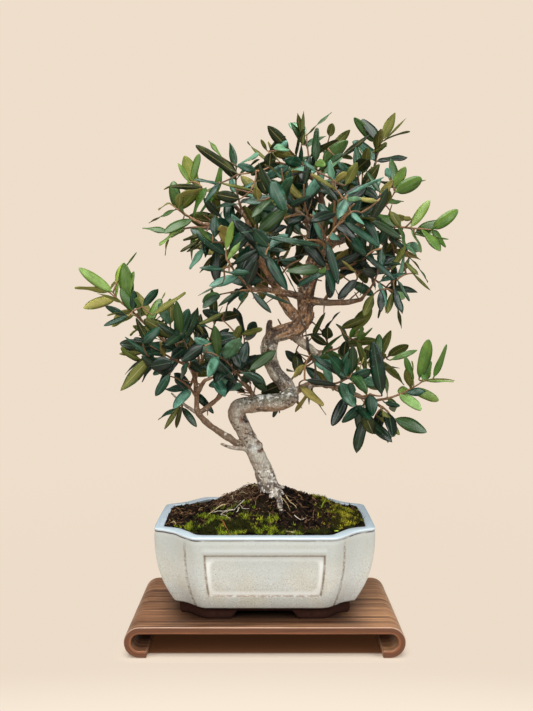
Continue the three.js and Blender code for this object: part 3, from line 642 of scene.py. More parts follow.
sprays = grow_sprays()
for line in [*TRUNK, *[path for _, path in LIMBS]]:
    grown_points.extend(vec(*station[:3]) for station in line)
for spray in sprays:
    grown_points.extend(twig_point(spray, t) for t in (0.2, 0.5, 0.8, 1))
leaves_of = [grow_leaves(spray) for spray in sprays]
names_of = [f"spray_{spray['pad']}_{i + 1:02d}" for i, spray in enumerate(sprays)]


def keep_solid_leaves():
    """Marks the leaves that the part's solids have, which show by a corner at the leaf's tip."""
    for name, leaves in zip(names_of, leaves_of):
        corners = places_of(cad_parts[name].data)
        for leaf in leaves:
            tip = leaf_line(leaf, 1)
            leaf["solid"] = np.linalg.norm(corners - tip, axis=1).min() < 0.8


keep_solid_leaves()

# ------------------------------------------------------------ more shoots among the solid ones

# Shoots that stand out in the photograph and that the solid sprays leave out.
MORE_TIPS = {
    "crown": [(3, 0, 458), (15, -45, 443), (58, -62, 436), (-27, -50, 424), (37, -62, 377), (9, -50, 364),
              (81, -18, 342)],
    "left": [(-112, 22, 314)],
    "right": [(107, -30, 273)],
}
# Leaves that stand out in the photograph: foot x and z, tip x and z, y, half width, which side is to the
# front (1 the top), tone and youth.
LEADS = {
    "crown": [
        (-24, 438, -62, 462, -48, 4.3, -1, 0.15, 0), (-40, 457, -51, 471, -30, 2.4, 1, 0.5, 0.7),
        (-69, 438, -62, 463, -10, 4.1, 1, 0.25, 0.8), (-72, 437, -81, 454, -12, 2.8, 1, 0.5, 0.8),
        (-59, 431, -88, 431, -20, 2.7, -1, 0.1, 0), (-8, 439, -24, 443, -58, 3.9, 1, 0.5, 0),
        (2, 465, -4, 474, -20, 1.9, -1, 0.3, 0.4), (4, 463, 19, 476, -25, 3.2, -1, 0.1, 0),
        (4, 445, 5, 457, -45, 5.4, -1, 0.05, 0), (14, 464, 20, 470, -30, 3.1, 1, 0.95, 0),
        (5, 427, 17, 401, -80, 6.8, 1, 0.55, 0), (-6, 410, -7, 421, -76, 4.1, -1, 0.7, 0),
        (-12, 421, -39, 426, -66, 1.6, -1, 0.35, 0.2), (-40, 427, -52, 410, -64, 3.1, 1, 0.45, 0),
        (-42, 429, -63, 434, -50, 2.5, 1, 0.5, 0), (-22, 414, -43, 417, -60, 5.2, -1, 0.1, 0),
        (-80, 410, -78, 423, -30, 4.2, -1, 0.45, 0.2), (35, 473, 32, 501, -10, 3.1, -1, 0.1, 0.2),
        (36, 472, 36, 502, -12, 4.0, -1, 0.2, 0.3), (61, 479, 64, 491, -12, 3.8, -1, 0.2, 0.2),
        (108, 478, 86, 501, 8, 4.5, 1, 0.45, 0.3), (113, 479, 125, 505, 4, 4.9, -1, 0.5, 0.5),
        (116, 480, 136, 500, 6, 1.1, -1, 0.3, 0.4), (70, 458, 98, 477, -20, 2.7, -1, 0.05, 0),
        (103, 466, 116, 474, -6, 3.2, -1, 0.2, 0.2), (111, 478, 105, 487, 0, 2.1, 1, 0.9, 0.1),
        (59, 429, 56, 444, -74, 4.3, 1, 1, 0.1), (44, 437, 33, 445, -70, 2.3, 1, 0.7, 0),
        (71, 425, 81, 444, -66, 4.7, -1, 0.4, 0.3), (61, 426, 70, 434, -78, 3.1, -1, 0.8, 0.1),
        (62, 419, 39, 432, -79, 2.1, -1, 0.7, 0.1), (120, 429, 129, 447, -30, 4.8, 1, 0.5, 0.75),
        (120, 424, 144, 435, -34, 6.6, 1, 0.3, 0.75), (103, 415, 114, 432, -52, 4.2, -1, 0.85, 0.3),
        (115, 438, 112, 446, -30, 3.4, 1, 1, 0), (72, 415, 102, 429, -80, 1.6, 1, 0.8, 0),
        (103, 419, 90, 439, -60, 3.3, 1, 0.25, 0.2), (98, 410, 80, 411, -74, 3.2, -1, 0.75, 0.1),
        (70, 411, 63, 394, -83, 4.6, 1, 0.75, 0), (-44, 399, -44, 380, -62, 5.2, 1, 0.3, 0),
        (-47, 377, -60, 390, -50, 2.2, 1, 0.2, 0.6), (-34, 368, -28, 392, -72, 3.6, 1, 0.65, 0.75),
        (-33, 359, -21, 374, -74, 2.5, 1, 0.7, 0.6), (-37, 352, -58, 353, -58, 2.6, 1, 0.45, 0),
        (-31, 348, -14, 349, -72, 3.1, 1, 0.5, 0), (-29, 355, -7, 367, -70, 2.8, 1, 0.2, 0),
        (-16, 337, -6, 359, -64, 5.2, 1, 0.02, 0), (1, 363, 20, 332, -80, 5.9, 1, 0.25, 0),
        (4, 370, -9, 384, -79, 6.5, 1, 0.4, 0), (4, 368, 18, 367, -70, 2.4, 1, 0.12, 0),
        (-56, 378, -54, 364, -40, 4.0, 1, 0.15, 0), (-55, 386, -75, 379, -36, 2.2, -1, 0.15, 0),
        (-57, 382, -78, 369, -34, 2.0, -1, 0.2, 0), (-56, 380, -72, 368, -32, 1.7, -1, 0.1, 0),
        (-38, 340, -60, 329, -50, 1.0, 1, 0.3, 0.2), (-23, 333, -42, 319, -52, 2.1, 1, 0.2, 0.1),
        (-14, 333, -26, 315, -50, 1.5, -1, 0.2, 0), (-12, 332, 6, 313, -62, 3.0, 1, 0.25, 0),
        (-2, 331, 22, 321, -66, 1.6, 1, 0.4, 0), (2, 378, 47, 372, -82, 2.9, 1, 0.4, 0),
        (54, 375, 64, 338, -76, 4.1, 1, 0.22, 0), (85, 344, 67, 326, -40, 4.7, 1, 0.03, 0),
        (68, 392, 99, 370, -80, 3.7, 1, 0.5, 0), (84, 400, 100, 373, -74, 3.9, 1, 0.35, 0),
        (74, 399, 85, 388, -84, 3.9, 1, 0.8, 0), (77, 376, 89, 364, -60, 3.5, 1, 0.5, 0),
        (82, 350, 69, 360, -50, 1.6, -1, 0.8, 0), (90, 363, 115, 342, -66, 3.2, 1, 0.2, 0),
        (104, 370, 103, 354, -62, 3.8, 1, 0.35, 0), (117, 353, 129, 374, -40, 3.1, -1, 0.25, 0.4),
        (131, 360, 142, 347, -30, 3.3, -1, 0.15, 0.3), (139, 350, 154, 333, -26, 1.5, -1, 0.3, 0.2),
        (124, 344, 135, 324, -28, 2.0, 1, 0.3, 0.1), (119, 335, 126, 312, -40, 3.8, 1, 0.2, 0),
        (106, 334, 106, 314, -44, 3.5, 1, 0.1, 0), (101, 330, 90, 310, -36, 4.6, -1, 0.35, 0.2),
        (118, 333, 113, 311, -38, 3.2, -1, 0.3, 0.2), (143, 389, 167, 400, -10, 5.4, 1, 0.15, 0.6),
        (143, 388, 174, 382, -12, 1.6, 1, 0.35, 0.7), (137, 400, 126, 400, -30, 2.3, -1, 0.6, 0),
        (114, 406, 122, 390, -44, 4.2, -1, 0.5, 0),
    ],
    "left": [
        (-149, 333, -181, 357, 6, 5.6, 1, 0.75, 0.7), (-132, 322, -137, 361, 0, 7.7, 1, 0.3, 0.75),
        (-134, 360, -124, 371, 2, 1.0, 1, 0.2, 0.8), (-105, 311, -73, 332, -30, 3.9, -1, 0.5, 0.3),
        (-107, 271, -134, 241, -34, 6.0, -1, 0.45, 0.15), (-114, 275, -137, 275, -24, 2.5, -1, 0.5, 0.15),
        (-80, 226, -96, 203, -20, 2.5, -1, 0.5, 0.1), (-55, 277, -26, 248, -50, 6.0, 1, 0.15, 0),
        (-55, 284, -75, 270, -52, 5.6, 1, 0.1, 0), (-87, 257, -100, 237, -44, 4.3, 1, 0.4, 0),
        (-107, 263, -86, 267, -36, 7.2, 1, 0.1, 0), (-124, 315, -122, 333, -26, 3.5, 1, 0.35, 0),
        (-114, 319, -99, 335, -30, 4.1, 1, 0.45, 0), (-128, 310, -150, 301, -28, 2.7, 1, 0.4, 0),
        (-130, 310, -149, 319, -26, 3.1, 1, 0.25, 0), (-111, 285, -95, 299, -50, 5.0, 1, 0.45, 0),
        (-82, 285, -69, 316, -40, 6.1, 1, 0.35, 0), (-49, 285, -27, 291, -46, 6.7, 1, 0.08, 0),
        (-40, 307, -57, 315, -36, 5.7, 1, 0.25, 0), (-31, 280, -23, 263, -48, 4.4, 1, 0.12, 0),
        (-21, 259, 1, 249, -52, 4.4, 1, 0.25, 0), (-38, 313, -60, 302, -40, 3.0, -1, 0.4, 0.1),
        (-21, 293, -2, 299, -38, 3.5, -1, 0.45, 0.2), (-29, 285, -22, 302, -36, 4.1, -1, 0.35, 0.2),
        (-100, 266, -130, 291, -30, 2.7, 1, 0.4, 0),
    ],
    "right": [
        (106, 238, 97, 287, -58, 6.7, 1, 0.2, 0), (144, 251, 153, 288, -34, 6.5, 1, 0.3, 0.8),
        (157, 252, 169, 283, -36, 3.9, 1, 0.1, 0.95), (139, 248, 130, 273, -34, 3.4, 1, 0.12, 0.8),
        (136, 243, 131, 262, -34, 3.7, -1, 0.45, 0.3), (145, 250, 175, 251, -36, 1.7, 1, 0.7, 0.7),
        (131, 239, 149, 241, -40, 3.9, 1, 0.5, 0), (129, 236, 145, 224, -38, 3.0, 1, 0.35, 0),
        (119, 268, 144, 278, -20, 2.9, 1, 0.8, 0.5), (92, 228, 71, 212, -40, 4.6, 1, 0.3, 0),
        (96, 239, 98, 219, -50, 6.8, 1, 0.5, 0), (92, 221, 100, 201, -40, 6.3, -1, 0.2, 0),
        (108, 224, 123, 200, -42, 4.3, -1, 0.35, 0.3), (111, 230, 124, 227, -40, 2.8, 1, 0.3, 0),
        (104, 217, 113, 212, -36, 1.9, -1, 0.6, 0), (74, 255, 77, 271, -52, 4.6, 1, 0.55, 0),
        (77, 253, 97, 262, -54, 5.1, 1, 0.35, 0), (42, 275, 73, 255, -50, 3.6, 1, 0.3, 0),
        (81, 238, 77, 250, -56, 3.3, 1, 0.5, 0), (37, 251, 65, 247, -40, 3.3, 1, 0.02, 0),
        (33, 243, 56, 225, -20, 4.2, -1, 0.85, 0), (47, 290, 58, 314, 0, 3.9, -1, 0.1, 0.1),
        (74, 298, 98, 308, 4, 4.3, -1, 0.3, 0.15), (61, 287, 61, 300, 0, 5.9, -1, 0.05, 0),
        (91, 286, 95, 300, 2, 3.3, 1, 0.05, 1), (93, 287, 105, 298, 4, 1.4, 1, 0.2, 0.9),
        (84, 288, 87, 298, 4, 2.9, 1, 0.05, 0.9), (76, 270, 77, 287, -10, 4.8, -1, 0.1, 0),
        (96, 266, 96, 279, -16, 4.8, -1, 0.2, 0), (17, 234, 9, 212, -6, 3.5, 1, 0.02, 0),
        (31, 276, 33, 251, 10, 5.9, -1, 0.1, 0),
    ],
}
FILL = {"crown": 31, "left": 5, "right": 0}
LEAST_ROOM = 3.6
LEAD_FRONT = -38  # further forward than this only the leading leaves are added


def all_spots(pad):
    paths = [path for limb_pad, path in LIMBS if limb_pad == pad]
    spots = [{"pad": pad, **along_path(path, s / 20)} for path in paths for s in range(6, 21)]
    for spray in sprays:
        if spray["pad"] == pad:
            for share in (0.5, 0.85):
                point = spray["root"] + (spray["start"] - spray["root"]) * share
                spots.append({"pad": pad, "point": point, "way": spray["heading"], "radius": 1.5})
    return spots


def nearest_spot(tip, spots):
    def price(spot):
        way = tip - spot["point"]
        far = math.hypot(*way)
        return abs(far - 38) + 25 * (1 - unit(way) @ spot["way"])

    return cheapest(spots, price)


def fill_tip(pad, draw):
    """A tip inside the form of the pad's foliage, where there is the most room."""
    tips = [vec(*tip[:3]) for tip in TIPS[pad]]
    centre = vec(*PAD_CENTRES[pad])
    known = np.array(grown_points)
    best, best_room = None, -1
    for _ in range(40):
        tip = tips[int(draw() * len(tips))]
        other = tips[int(draw() * len(tips))]
        point = mix(centre, mix(tip, other, 0.5 * draw()), 0.55 + 0.42 * draw())
        point = point + vec(draw() - 0.5, draw() - 0.5, draw() - 0.5) * 16
        room = np.linalg.norm(known - point, axis=1).min() - 0.06 * (point[1] + 60)
        if room > best_room:
            best, best_room = point, room
    return best


def is_inside(points, margin):
    low = np.array(cad_low) / MM + margin
    high = np.array(cad_high) / MM - margin
    return bool((points > low).all() and (points < high).all())


def is_open(point):
    """Whether a place lies where the crown's limbs show between its leaves."""
    return math.hypot((point[0] - 34) / 44, (point[2] - 338) / 42) < 1 and point[1] < 20


def grow_more():
    draw = stream(77)
    found = {}
    for pad, listed in MORE_TIPS.items():
        spots = all_spots(pad)
        found[pad] = []
        for count in range(len(listed) + FILL[pad]):
            tip = vec(*listed[count]) if count < len(listed) else fill_tip(pad, draw)
            spot = nearest_spot(tip, spots)
            index = 300 + 100 * list(MORE_TIPS).index(pad) + count
            spray = grow_spray(index, pad, tip, 0, spot, reach=34)
            leaves = grow_leaves(spray, size=0.9, loose=True)
            kept = [leaf for leaf in leaves if leaf["room"] > LEAST_ROOM**2]
            kept = [leaf for leaf in kept if is_inside(leaf_line(leaf, np.linspace(0, 1, 5)), 5)]
            kept = [leaf for leaf in kept if not is_open(leaf_line(leaf, 0.6))]
            kept = [leaf for leaf in kept if leaf_line(leaf, 0.6)[1] > LEAD_FRONT]
            found[pad].append((spray, kept))
    return found


more_shoots = grow_more()

# ------------------------------------------------------------ leaves and twigs

LEAF_ROWS = np.array([0, 0.035, 0.075, 0.13, 0.2, 0.3, 0.42, 0.54, 0.66, 0.77, 0.87, 0.945, 0.983])
LEAF_ACROSS = np.array([1, 0.5, 0, -0.5, -1, -0.5, 0, 0.5])
LEAF_FACE = np.array([0, 1, 1, 1, 0, -1, -1, -1])
LEAF_KINDS = np.array([0, 0, 0, 0, 1, 1, 1, 1])
PETIOLE = 0.75
BLADE = 0.24

# Places [x, z] where the photograph shows young yellow-green leaves, and how young they are.
YOUNG = [(-154, 334, 1), (-73, 438, 0.85), (160, 392, 0.9), (147, 250, 0.8), (123, 270, 0.5),
         (123, 428, 0.6), (92, 290, 0.5), (-97, 408, 0.9), (-126, 314, 0.6), (64, 474, 0.35)]


def youth_at(tip):
    near = [s * (1 - step(10, 40, math.hypot(tip[0] - x, tip[2] - z))) for x, z, s in YOUNG]
    return float(max(near))


def blade_width(t, blunt):
    u = np.clip((t - 0.06) / 0.94, 0, 1) ** 0.92
    return (1 - np.abs(2 * u - 1) ** 2.2) ** blunt


def add_leaf(skin, leaf, youth, draw, tone=None):
    t = LEAF_ROWS[:, None]
    stalk = 1 - step(0.03, 0.12, t)
    slim = mix(0.64, 1.04, draw()) if tone is None else 1
    blunt = mix(0.56, 0.82, draw())
    width = np.maximum(slim * leaf["half_width"] * blade_width(t, blunt), PETIOLE * (t < 0.1))
    thick = mix(BLADE, 0.6, stalk)
    across = width * LEAF_ACROSS
    fold = mix(-0.16, 0.26, draw())
    ripple = 0.9 * math.sin(6.3 * draw()) * np.sin(9 * t + 6.3 * draw()) * np.sign(LEAF_ACROSS)
    off = thick * LEAF_FACE + (fold * np.abs(across) + ripple * np.abs(LEAF_ACROSS) ** 2) * (1 - stalk)
    turn = (draw() - 0.5) * 2.0 * np.maximum(t - 0.08, 0)
    across, off = across * np.cos(turn) - off * np.sin(turn), across * np.sin(turn) + off * np.cos(turn)
    side = np.cross(leaf["normal"], leaf["heading"])
    middle = leaf_line(leaf, LEAF_ROWS)[:, None]
    points = middle + side * across[..., None] + leaf["normal"] * off[..., None]
    points = np.vstack([points.reshape(-1, 3), leaf_line(leaf, 1)[None]])
    looks = np.zeros((len(points), 4))
    looks[:-1, 0] = LEAF_ROWS.repeat(8)
    looks[:-1, 1] = np.tile(0.5 + LEAF_ACROSS / 2, len(LEAF_ROWS))
    looks[-1, :2] = (1, 0.5)
    looks[:, 2] = 0.94 * draw() ** 2 if tone is None else 0.92 * tone
    looks[:, 3] = youth
    i = np.arange(8)
    last = len(points) - 9
    tips = np.stack([last + i, last + (i + 1) % 8, np.full(8, len(points) - 1)], -1)
    skin.add(points, (band(len(LEAF_ROWS), 8), tips), LEAF_KINDS, looks)


def add_twig(skin, spray, draw, with_stem):
    """The leafy twig, thicker where a pair of leaves leaves it, and its stem if no solid has it."""
    t = np.linspace(0, 1, 22)
    gaps = [(t - pair_place(spray, pair)) * spray["length"] for pair in range(spray["pairs"])]
    radius = mix(1.15, 0.6, t) * (1 + 0.3 * sum(np.exp(-((gap / 1.3) ** 2)) for gap in gaps))
    middle = np.array([twig_point(spray, one) for one in t])
    path = np.column_stack([middle, radius])
    if with_stem:
        path = np.vstack([stem_path(spray)[:-1], path])
    path[:, :3] += 0.35 * noise(path[:, :3], 6, 5)[:, None] * spray["side"]
    add_tube(skin, path, 7, 2, draw())


def stem_path(spray):
    """The bare branchlet from its limb to the start of the leafy twig."""
    share = np.linspace(0, 1, max(int(math.dist(spray["root"], spray["start"]) / 3), 3))[:, None]
    points = spray["root"] + (spray["start"] - spray["root"]) * share
    return np.hstack([points, mix(spray["root_radius"], 1.2, share)])


def add_leads(skin, pad, draw):
    """The leading leaves of a pad, each on a thin twig from the nearest wood or leaf's foot."""
    leads = [(vec(fx, y + 3, fz), vec(tx, y - 3, tz), *rest) for fx, fz, tx, tz, y, *rest in LEADS[pad]]
    wood = [smooth_path(path, 3)[:, :3] for limb_pad, path in LIMBS if limb_pad == pad]
    for spray in sprays:
        if spray["pad"] == pad:
            wood.append(np.array([twig_point(spray, t) for t in (0, 0.25, 0.5, 0.75, 1)]))
            wood.append(stem_path(spray)[:, :3])
    wood = np.vstack(wood)
    while leads:
        gaps = [np.linalg.norm((wood - lead[0]) * (1, 0.7, 1), axis=1).min() for lead in leads]
        foot, tip, half_width, side, tone, youth = leads.pop(gaps.index(min(gaps)))
        start = wood[np.linalg.norm((wood - foot) * (1, 0.7, 1), axis=1).argmin()]
        way = tip - foot
        length = math.hypot(*way)
        heading = way / length
        t = np.linspace(0, 1, 9)[:, None]
        bend = (heading * 0.35 + UP * -0.1) * math.dist(start, foot)
        line = start + (foot - start) * t - bend * t * (1 - t)
        add_tube(skin, np.hstack([line, mix(0.95, 0.6, t)]), 6, 2, draw())
        wood = np.vstack([wood, line[4:]])
        wanted = vec(1.1 * (draw() - 0.5), -side, 0.9 * (draw() - 0.4))
        normal = unit(wanted - heading * (wanted @ heading))
        leaf = {"root": foot, "heading": heading, "normal": normal, "length": length, "sag": 0.16 * draw()}
        add_leaf(skin, {**leaf, "half_width": half_width}, youth, draw, tone)


def spray_skin(groups, draw, with_stem=False):
    skin = Skin()
    for spray, leaves in groups:
        add_twig(skin, spray, draw, with_stem)
        base_youth = youth_at(twig_point(spray, 1))
        for leaf in leaves:
            tender = step(0.6, 1, leaf["place"]) * (0.04 + 0.4 * draw() ** 4)
            add_leaf(skin, leaf, min(base_youth * (0.6 + 0.5 * draw()) + tender, 1), draw)
    return skin


# ------------------------------------------------------------ materials of leaves and twigs


def leaf_material(name, tones, young, rough, gloss, rib_tint, rib_amount):
    """Tones run from dark over middle to light, and young ones from dark to light."""
    n = Nodes(name, rough, gloss)
    _, along, across, tone, youth = n.look()
    place = n.place()
    off = abs(across - 0.5)
    mottle = n.span(n.noise(place, 110), 0.3, 0.7, -0.12, 0.12)
    # A painted sheen: one half of each leaf a little lighter than the other.
    shade = tone + mottle + n.span(across, 0.49, 0.51, -0.04, 0.04)
    n.colour = n.mix(n.span(shade, 0, 0.5), *tones[:2])
    n.lay(n.span(shade, 0.5, 1.02), tones[2])
    n.lay(youth, n.mix(n.span(shade, 0, 1), *young))
    n.lay(n.span(off, 0.014, 0.04, 1, 0) * rib_amount, rib_tint)
    dust = n.span(n.cells(place, 620), 0.16, 0.08, 0, 0.7) * n.span(n.noise(place, 45, 2), 0.52, 0.62)
    n.lay(dust * n.span(youth, 0.3, 0.1, 0, 1), (190, 205, 196))
    veins = n.math("SINE", along * 70 - off * 55)
    relief = n.span(off, 0.0, 0.05, -1, 0) + veins * 0.04 + n.noise(place, 260, 2) * 0.06
    return n.done(Normal=n.bump(relief, 0.0003, 0.25))


def twig_material():
    n = Nodes("twig", 0.75)
    tone = n.look()[3]
    place = n.place()
    n.colour = n.mix(tone, (98, 68, 44), (150, 114, 76))
    n.lay(n.span(n.noise(place, 500), 0.35, 0.65) * 0.5, (84, 62, 45))
    return n.done(Normal=n.bump(n.noise(place, 900), 0.0004, 0.6))


# The light end of the leaf tops' tones is partly leaf colour and partly painted sheen.
LEAF_TOP = ((2, 20, 8), (6, 55, 34), (98, 148, 128))
LEAF_UNDER = ((20, 32, 7), (72, 76, 25), (152, 138, 74))
YOUNG_TOP = ((60, 96, 24), (138, 164, 64))
YOUNG_UNDER = ((104, 116, 40), (168, 164, 92))
leaf_top = leaf_material("leaf_top", LEAF_TOP, YOUNG_TOP, 0.36, 0.4, (96, 128, 96), 0.3)
leaf_under = leaf_material("leaf_under", LEAF_UNDER, YOUNG_UNDER, 0.7, 0.25, (160, 145, 96), 0.5)
leaf_set = [leaf_top, leaf_under, twig_material()]

leaf_draw = stream(4242)
for name, spray, leaves in zip(names_of, sprays, leaves_of):
    solid = [leaf for leaf in leaves if leaf["solid"]]
    dress(name + "_fine", make_mesh(name, spray_skin([(spray, solid)], leaf_draw)), leaf_set, [name])
for pad, groups in more_shoots.items():
    shoots = spray_skin(groups, leaf_draw, True)
    add_leads(shoots, pad, leaf_draw)
    dress("shoots_" + pad, make_mesh("shoots_" + pad, shoots), leaf_set)

# ------------------------------------------------------------ trunk


def ground_at(x, y):
    cx, cy = SOIL["centre"]
    mound = np.exp(-(((x - cx) / SOIL["mound_x"]) ** 2) - ((y - cy) / SOIL["mound_y"]) ** 2)
    bumps = 0.9 * np.sin(x * 0.21 + 1.3) * np.cos(y * 0.27) + 0.7 * np.sin(x * 0.11 - y * 0.17)
    return RIM_Z - SOIL["below_rim"] + SOIL["mound"] * mound + bumps


def root_stations(degrees, length, radius):
    stations = []
    for share, lift, r in ((0.2, 1, radius), (0.6, -1.2, radius * 0.7), (1, -4, radius * 0.3)):
        x = FOOT_CENTRE[0] + math.cos(math.radians(degrees)) * length * share
        y = FOOT_CENTRE[1] + math.sin(math.radians(degrees)) * length * share
        stations.append((x, y, ground_at(x, y) + lift, r))
    return stations


def evaluated(mesh, kind, **settings):
    """A mesh after one modifier."""
    piece = put_object("work", mesh)
    modifier = piece.modifiers.new("work", kind)
    for key, value in settings.items():
        setattr(modifier, key, value)
    graph = bpy.context.evaluated_depsgraph_get()
    done = bpy.data.meshes.new_from_object(piece.evaluated_get(graph))
    bpy.data.objects.remove(piece)
    return done


def runs_near(points, paths):
    """For each point the nearest place on the paths: two offsets across, distance along, and radius."""
    joined = np.vstack(paths)
    _, sides, thirds = [np.vstack(part) for part in zip(*[frames_along(path) for path in paths])]
    lengths = []
    done = 0
    for path in paths:
        pieces = np.linalg.norm(np.diff(path[:, :3], axis=0), axis=1)
        lengths.append(done + np.concatenate([[0], np.cumsum(pieces)]))
        done = lengths[-1][-1]
    tree = kdtree.KDTree(len(joined))
    for i, point in enumerate(joined[:, :3]):
        tree.insert(point, i)
    tree.balance()
    near = np.array([tree.find(point)[1] for point in points])
    out = points - joined[near, :3]
    along = np.concatenate(lengths)[near]
    local = np.column_stack([(out * sides[near]).sum(1), (out * thirds[near]).sum(1), along])
    return local, joined[near, 3]


# Marks on the front of the trunk, as places [x, z].
WOUND, HOLE, EYE = (-19, 209.5), (-17.5, 209.5), (3.2, 273.7)
KNOB_FACE, BLUE_PATCH, SCARS = (-5.4, 182.4), (-10, 181), ((11.3, 264.7), (3.6, 303))


def gap_to(points, mark):
    return np.hypot(points[:, 0] - mark[0], points[:, 2] - mark[1])


def peak(gap, size):
    """1 where a gap is 0, falling off over `size`."""
    return np.exp(-((gap / size) ** 2))


def blob(points, mark, size):
    return peak(gap_to(points, mark), size / math.sqrt(2))


def trunk_marks(points, out, stretched):
    """Where the marks of the bark lie, as numbers from 0 to 1, and how far off two of them are."""
    x, _, z = points.T
    mark = SimpleNamespace(front=out[:, 1] < 0.2, upper=step(278, 296, z), fine=noise(points, 1.3, 20))
    where = noise(points, 13, 23) + 0.8 * (1 - step(135, 172, z)) - 0.05
    mark.flecks = step(0.2, 0.36, noise(points * (1, 1, 1.9), 2.9, 22))
    mark.flecks *= step(-0.25, 0.3, where) * (1 - mark.upper)
    mark.eye = gap_to(points, EYE)
    mark.rim_of_eye = peak(mark.eye - 4.1, 1.3) * mark.front
    mark.wound = blob(points, WOUND, 7) * mark.front
    mark.hole = blob(points, HOLE, 5) * mark.front * step(-0.5, 0.1, noise(points, 2.6, 24) + 0.3)
    mark.knob = gap_to(points, KNOB_FACE)
    mark.burl = peak(mark.knob - 4.3, 1.5) * mark.front * step(-9, -5, x)
    mark.rough = np.maximum(blob(points, SCARS[0], 8) * mark.front, blob(points, SCARS[1], 9))
    mark.cracks = step(0.62, 0.86, 1 - np.abs(noise(stretched, 5.5, 18)))
    mark.cracks *= step(-0.2, 0.3, noise(points, 16, 19)) * (0.05 + 0.95 * step(228, 245, z))
    return mark


def trunk_lift(points, stretched, mark):
    """How far the bark stands out at each point."""
    z = points[:, 2]
    ridges = 1 - 2 * np.abs(noise(stretched, 4.2, 11))
    grooved = 0.1 + 0.5 * step(225, 240, z) + 0.5 * mark.upper
    flakes = step(0.1, 0.35, noise(points * (1, 1, 0.6), 4.5, 14))
    foot = (1 - step(130, 148, z)) * (noise(points, 3.4, 26) + 0.7 * noise(points, 1.9, 27))
    lift = 0.6 * noise(points, 11, 12) + 0.35 * noise(points, 4.6, 21) + grooved * 0.5 * ridges
    lift += (0.1 + 0.3 * grooved) * noise(stretched, 1.7, 13)
    lift += mix(0.25 * flakes, 0.7 * noise(stretched, 1.6, 15), mark.upper) - 0.55 * mark.flecks
    lift += 1.3 * mark.rim_of_eye - 2.2 * peak(mark.eye, 2.2) * mark.front - mark.wound - 2.2 * mark.hole
    lift += 0.8 * mark.burl * (1 + noise(points, 2.4, 16)) - 0.6 * peak(mark.knob, 2.4) * mark.front
    lift += 1.4 * mark.rough * noise(points, 2.6, 17) - 0.9 * mark.cracks + 1.5 * foot
    return 0.9 * lift + 0.18 * mark.fine


def make_trunk():
    roots = [root_stations(*root) for root in ROOTS]
    starts = [slimmer(i, path)[:3] for i, (_, path) in enumerate(LIMBS) if path[0][3] >= 3.4]
    runs = [*TRUNK_FINE, *roots, *STUBS[:3], KNOB, *STUBS[4:], *starts]
    runs = [smooth_path(path, 1.5) for path in runs]
    skin = Skin()
    for path in runs:
        add_tube(skin, path, 20)
    mesh = evaluated(make_mesh("trunk_rough", skin), "REMESH", mode="VOXEL", voxel_size=0.7 * MM)
    mesh = evaluated(mesh, "SMOOTH", factor=0.5, iterations=7)
    points, out = places_of(mesh), read_points(mesh, "normal")
    local, radius = runs_near(points, runs)
    stretched = local * (1, 1, 0.22)
    marks = trunk_marks(points, out, stretched)
    lift = trunk_lift(points, stretched, marks) * np.clip(radius / 8, 0.25, 1)
    moved = (points + out * lift[:, None]) * MM
    mesh.vertices.foreach_set("co", moved.astype(np.float32).ravel())
    mesh.update()
    put_look(mesh, trunk_colours(points, out, stretched, marks))
    return mesh


def tinted(start, *layers):
    """A colour, or one for each point, mixed toward others in turn, each with its amount."""
    colours = np.array(srgb(*start)) if isinstance(start, tuple) else start
    for amount, colour in layers:
        colours = mix(colours, np.array(srgb(*colour)), np.clip(amount, 0, 1)[:, None])
    return colours


def trunk_colours(points, out, stretched, mark):
    x, _, z = points.T
    patch, tight, fibre = noise(points, 6, 32), noise(points, 2.6, 33), noise(stretched, 1.8, 35)
    base = 1 - step(138, 170, z)
    level_run = step(212, 220, z) * (1 - step(236, 246, z)) * step(-30, -22, x)
    glint = step(0.3, 0.45, noise(points * (0.7, 1, 1), 2.4, 37)) * step(-0.3, 0.2, noise(points, 12, 38))
    pale = tinted(
        (154, 140, 124),
        # Painted light on the side that faces right and painted shade on the side that faces left, over the
        # bark's patchy pale tone.
        (0.85 * step(-0.35, 0.4, noise(points, 14, 31) + 0.5 * out[:, 0]), (182, 178, 166)),
        (0.6 * step(0.15, 0.9, -out[:, 0]), (136, 106, 80)),
        (0.55 * step(0.1, 0.45, patch + 0.35 * tight), (132, 108, 86)),
        (0.75 * base * step(-0.5, 0.1, patch + 0.3 * tight), (192, 187, 176)),
        (0.9 * base * step(0.04, 0.22, noise(points, 5, 36) + 0.3 * tight), (62, 45, 33)),
        (0.9 * level_run * step(-0.3, 0.5, out[:, 2]), (98, 98, 80)),
        # Painted glints on the top of the level run.
        (level_run * glint * step(-0.3, 0.3, out[:, 2]), (240, 243, 240)),
        (0.75 * level_run * step(0.1, 0.7, -out[:, 2]), (158, 120, 86)),
        (0.9 * mark.flecks, (54, 38, 28)),
        # Painted light: the S bend of the trunk is made lighter.
        (0.62 * step(246, 256, z) * (1 - step(284, 294, z)), (204, 194, 172)),
    )
    brown = tinted(
        (116, 82, 54),
        (step(-0.2, 0.5, fibre), (160, 120, 80)),
        (step(0.1, 0.5, -fibre), (56, 38, 26)),
    )
    colours = tinted(
        mix(pale, brown, mark.upper[:, None]),
        (0.8 * peak(gap_to(points, BLUE_PATCH), 3.4) * mark.front, (206, 212, 210)),
        (1.5 * mark.burl, (84, 52, 30)),
        (mark.wound * (1.2 + tight), (118, 70, 38)),
        # The hole is painted near black: painted shade in its hollow.
        (1.6 * mark.hole, (20, 13, 9)),
        (mark.rough * (0.75 + 0.4 * tight), (62, 46, 36)),
        (0.8 * mark.rim_of_eye, (120, 92, 68)),
        (0.9 * peak(mark.eye, 2) * mark.front, (70, 48, 34)),
        (0.8 * mark.cracks, (48, 35, 27)),
        (0.25 * step(0.35, 0.6, mark.fine), (222, 217, 208)),
        (0.3 * step(0.3, 0.6, -mark.fine), (92, 72, 56)),
    )
    sprinkled = np.clip(0.25 + base + 0.7 * noise(points, 12, 39) - mark.upper, 0, 1)
    return np.column_stack([colours, sprinkled])


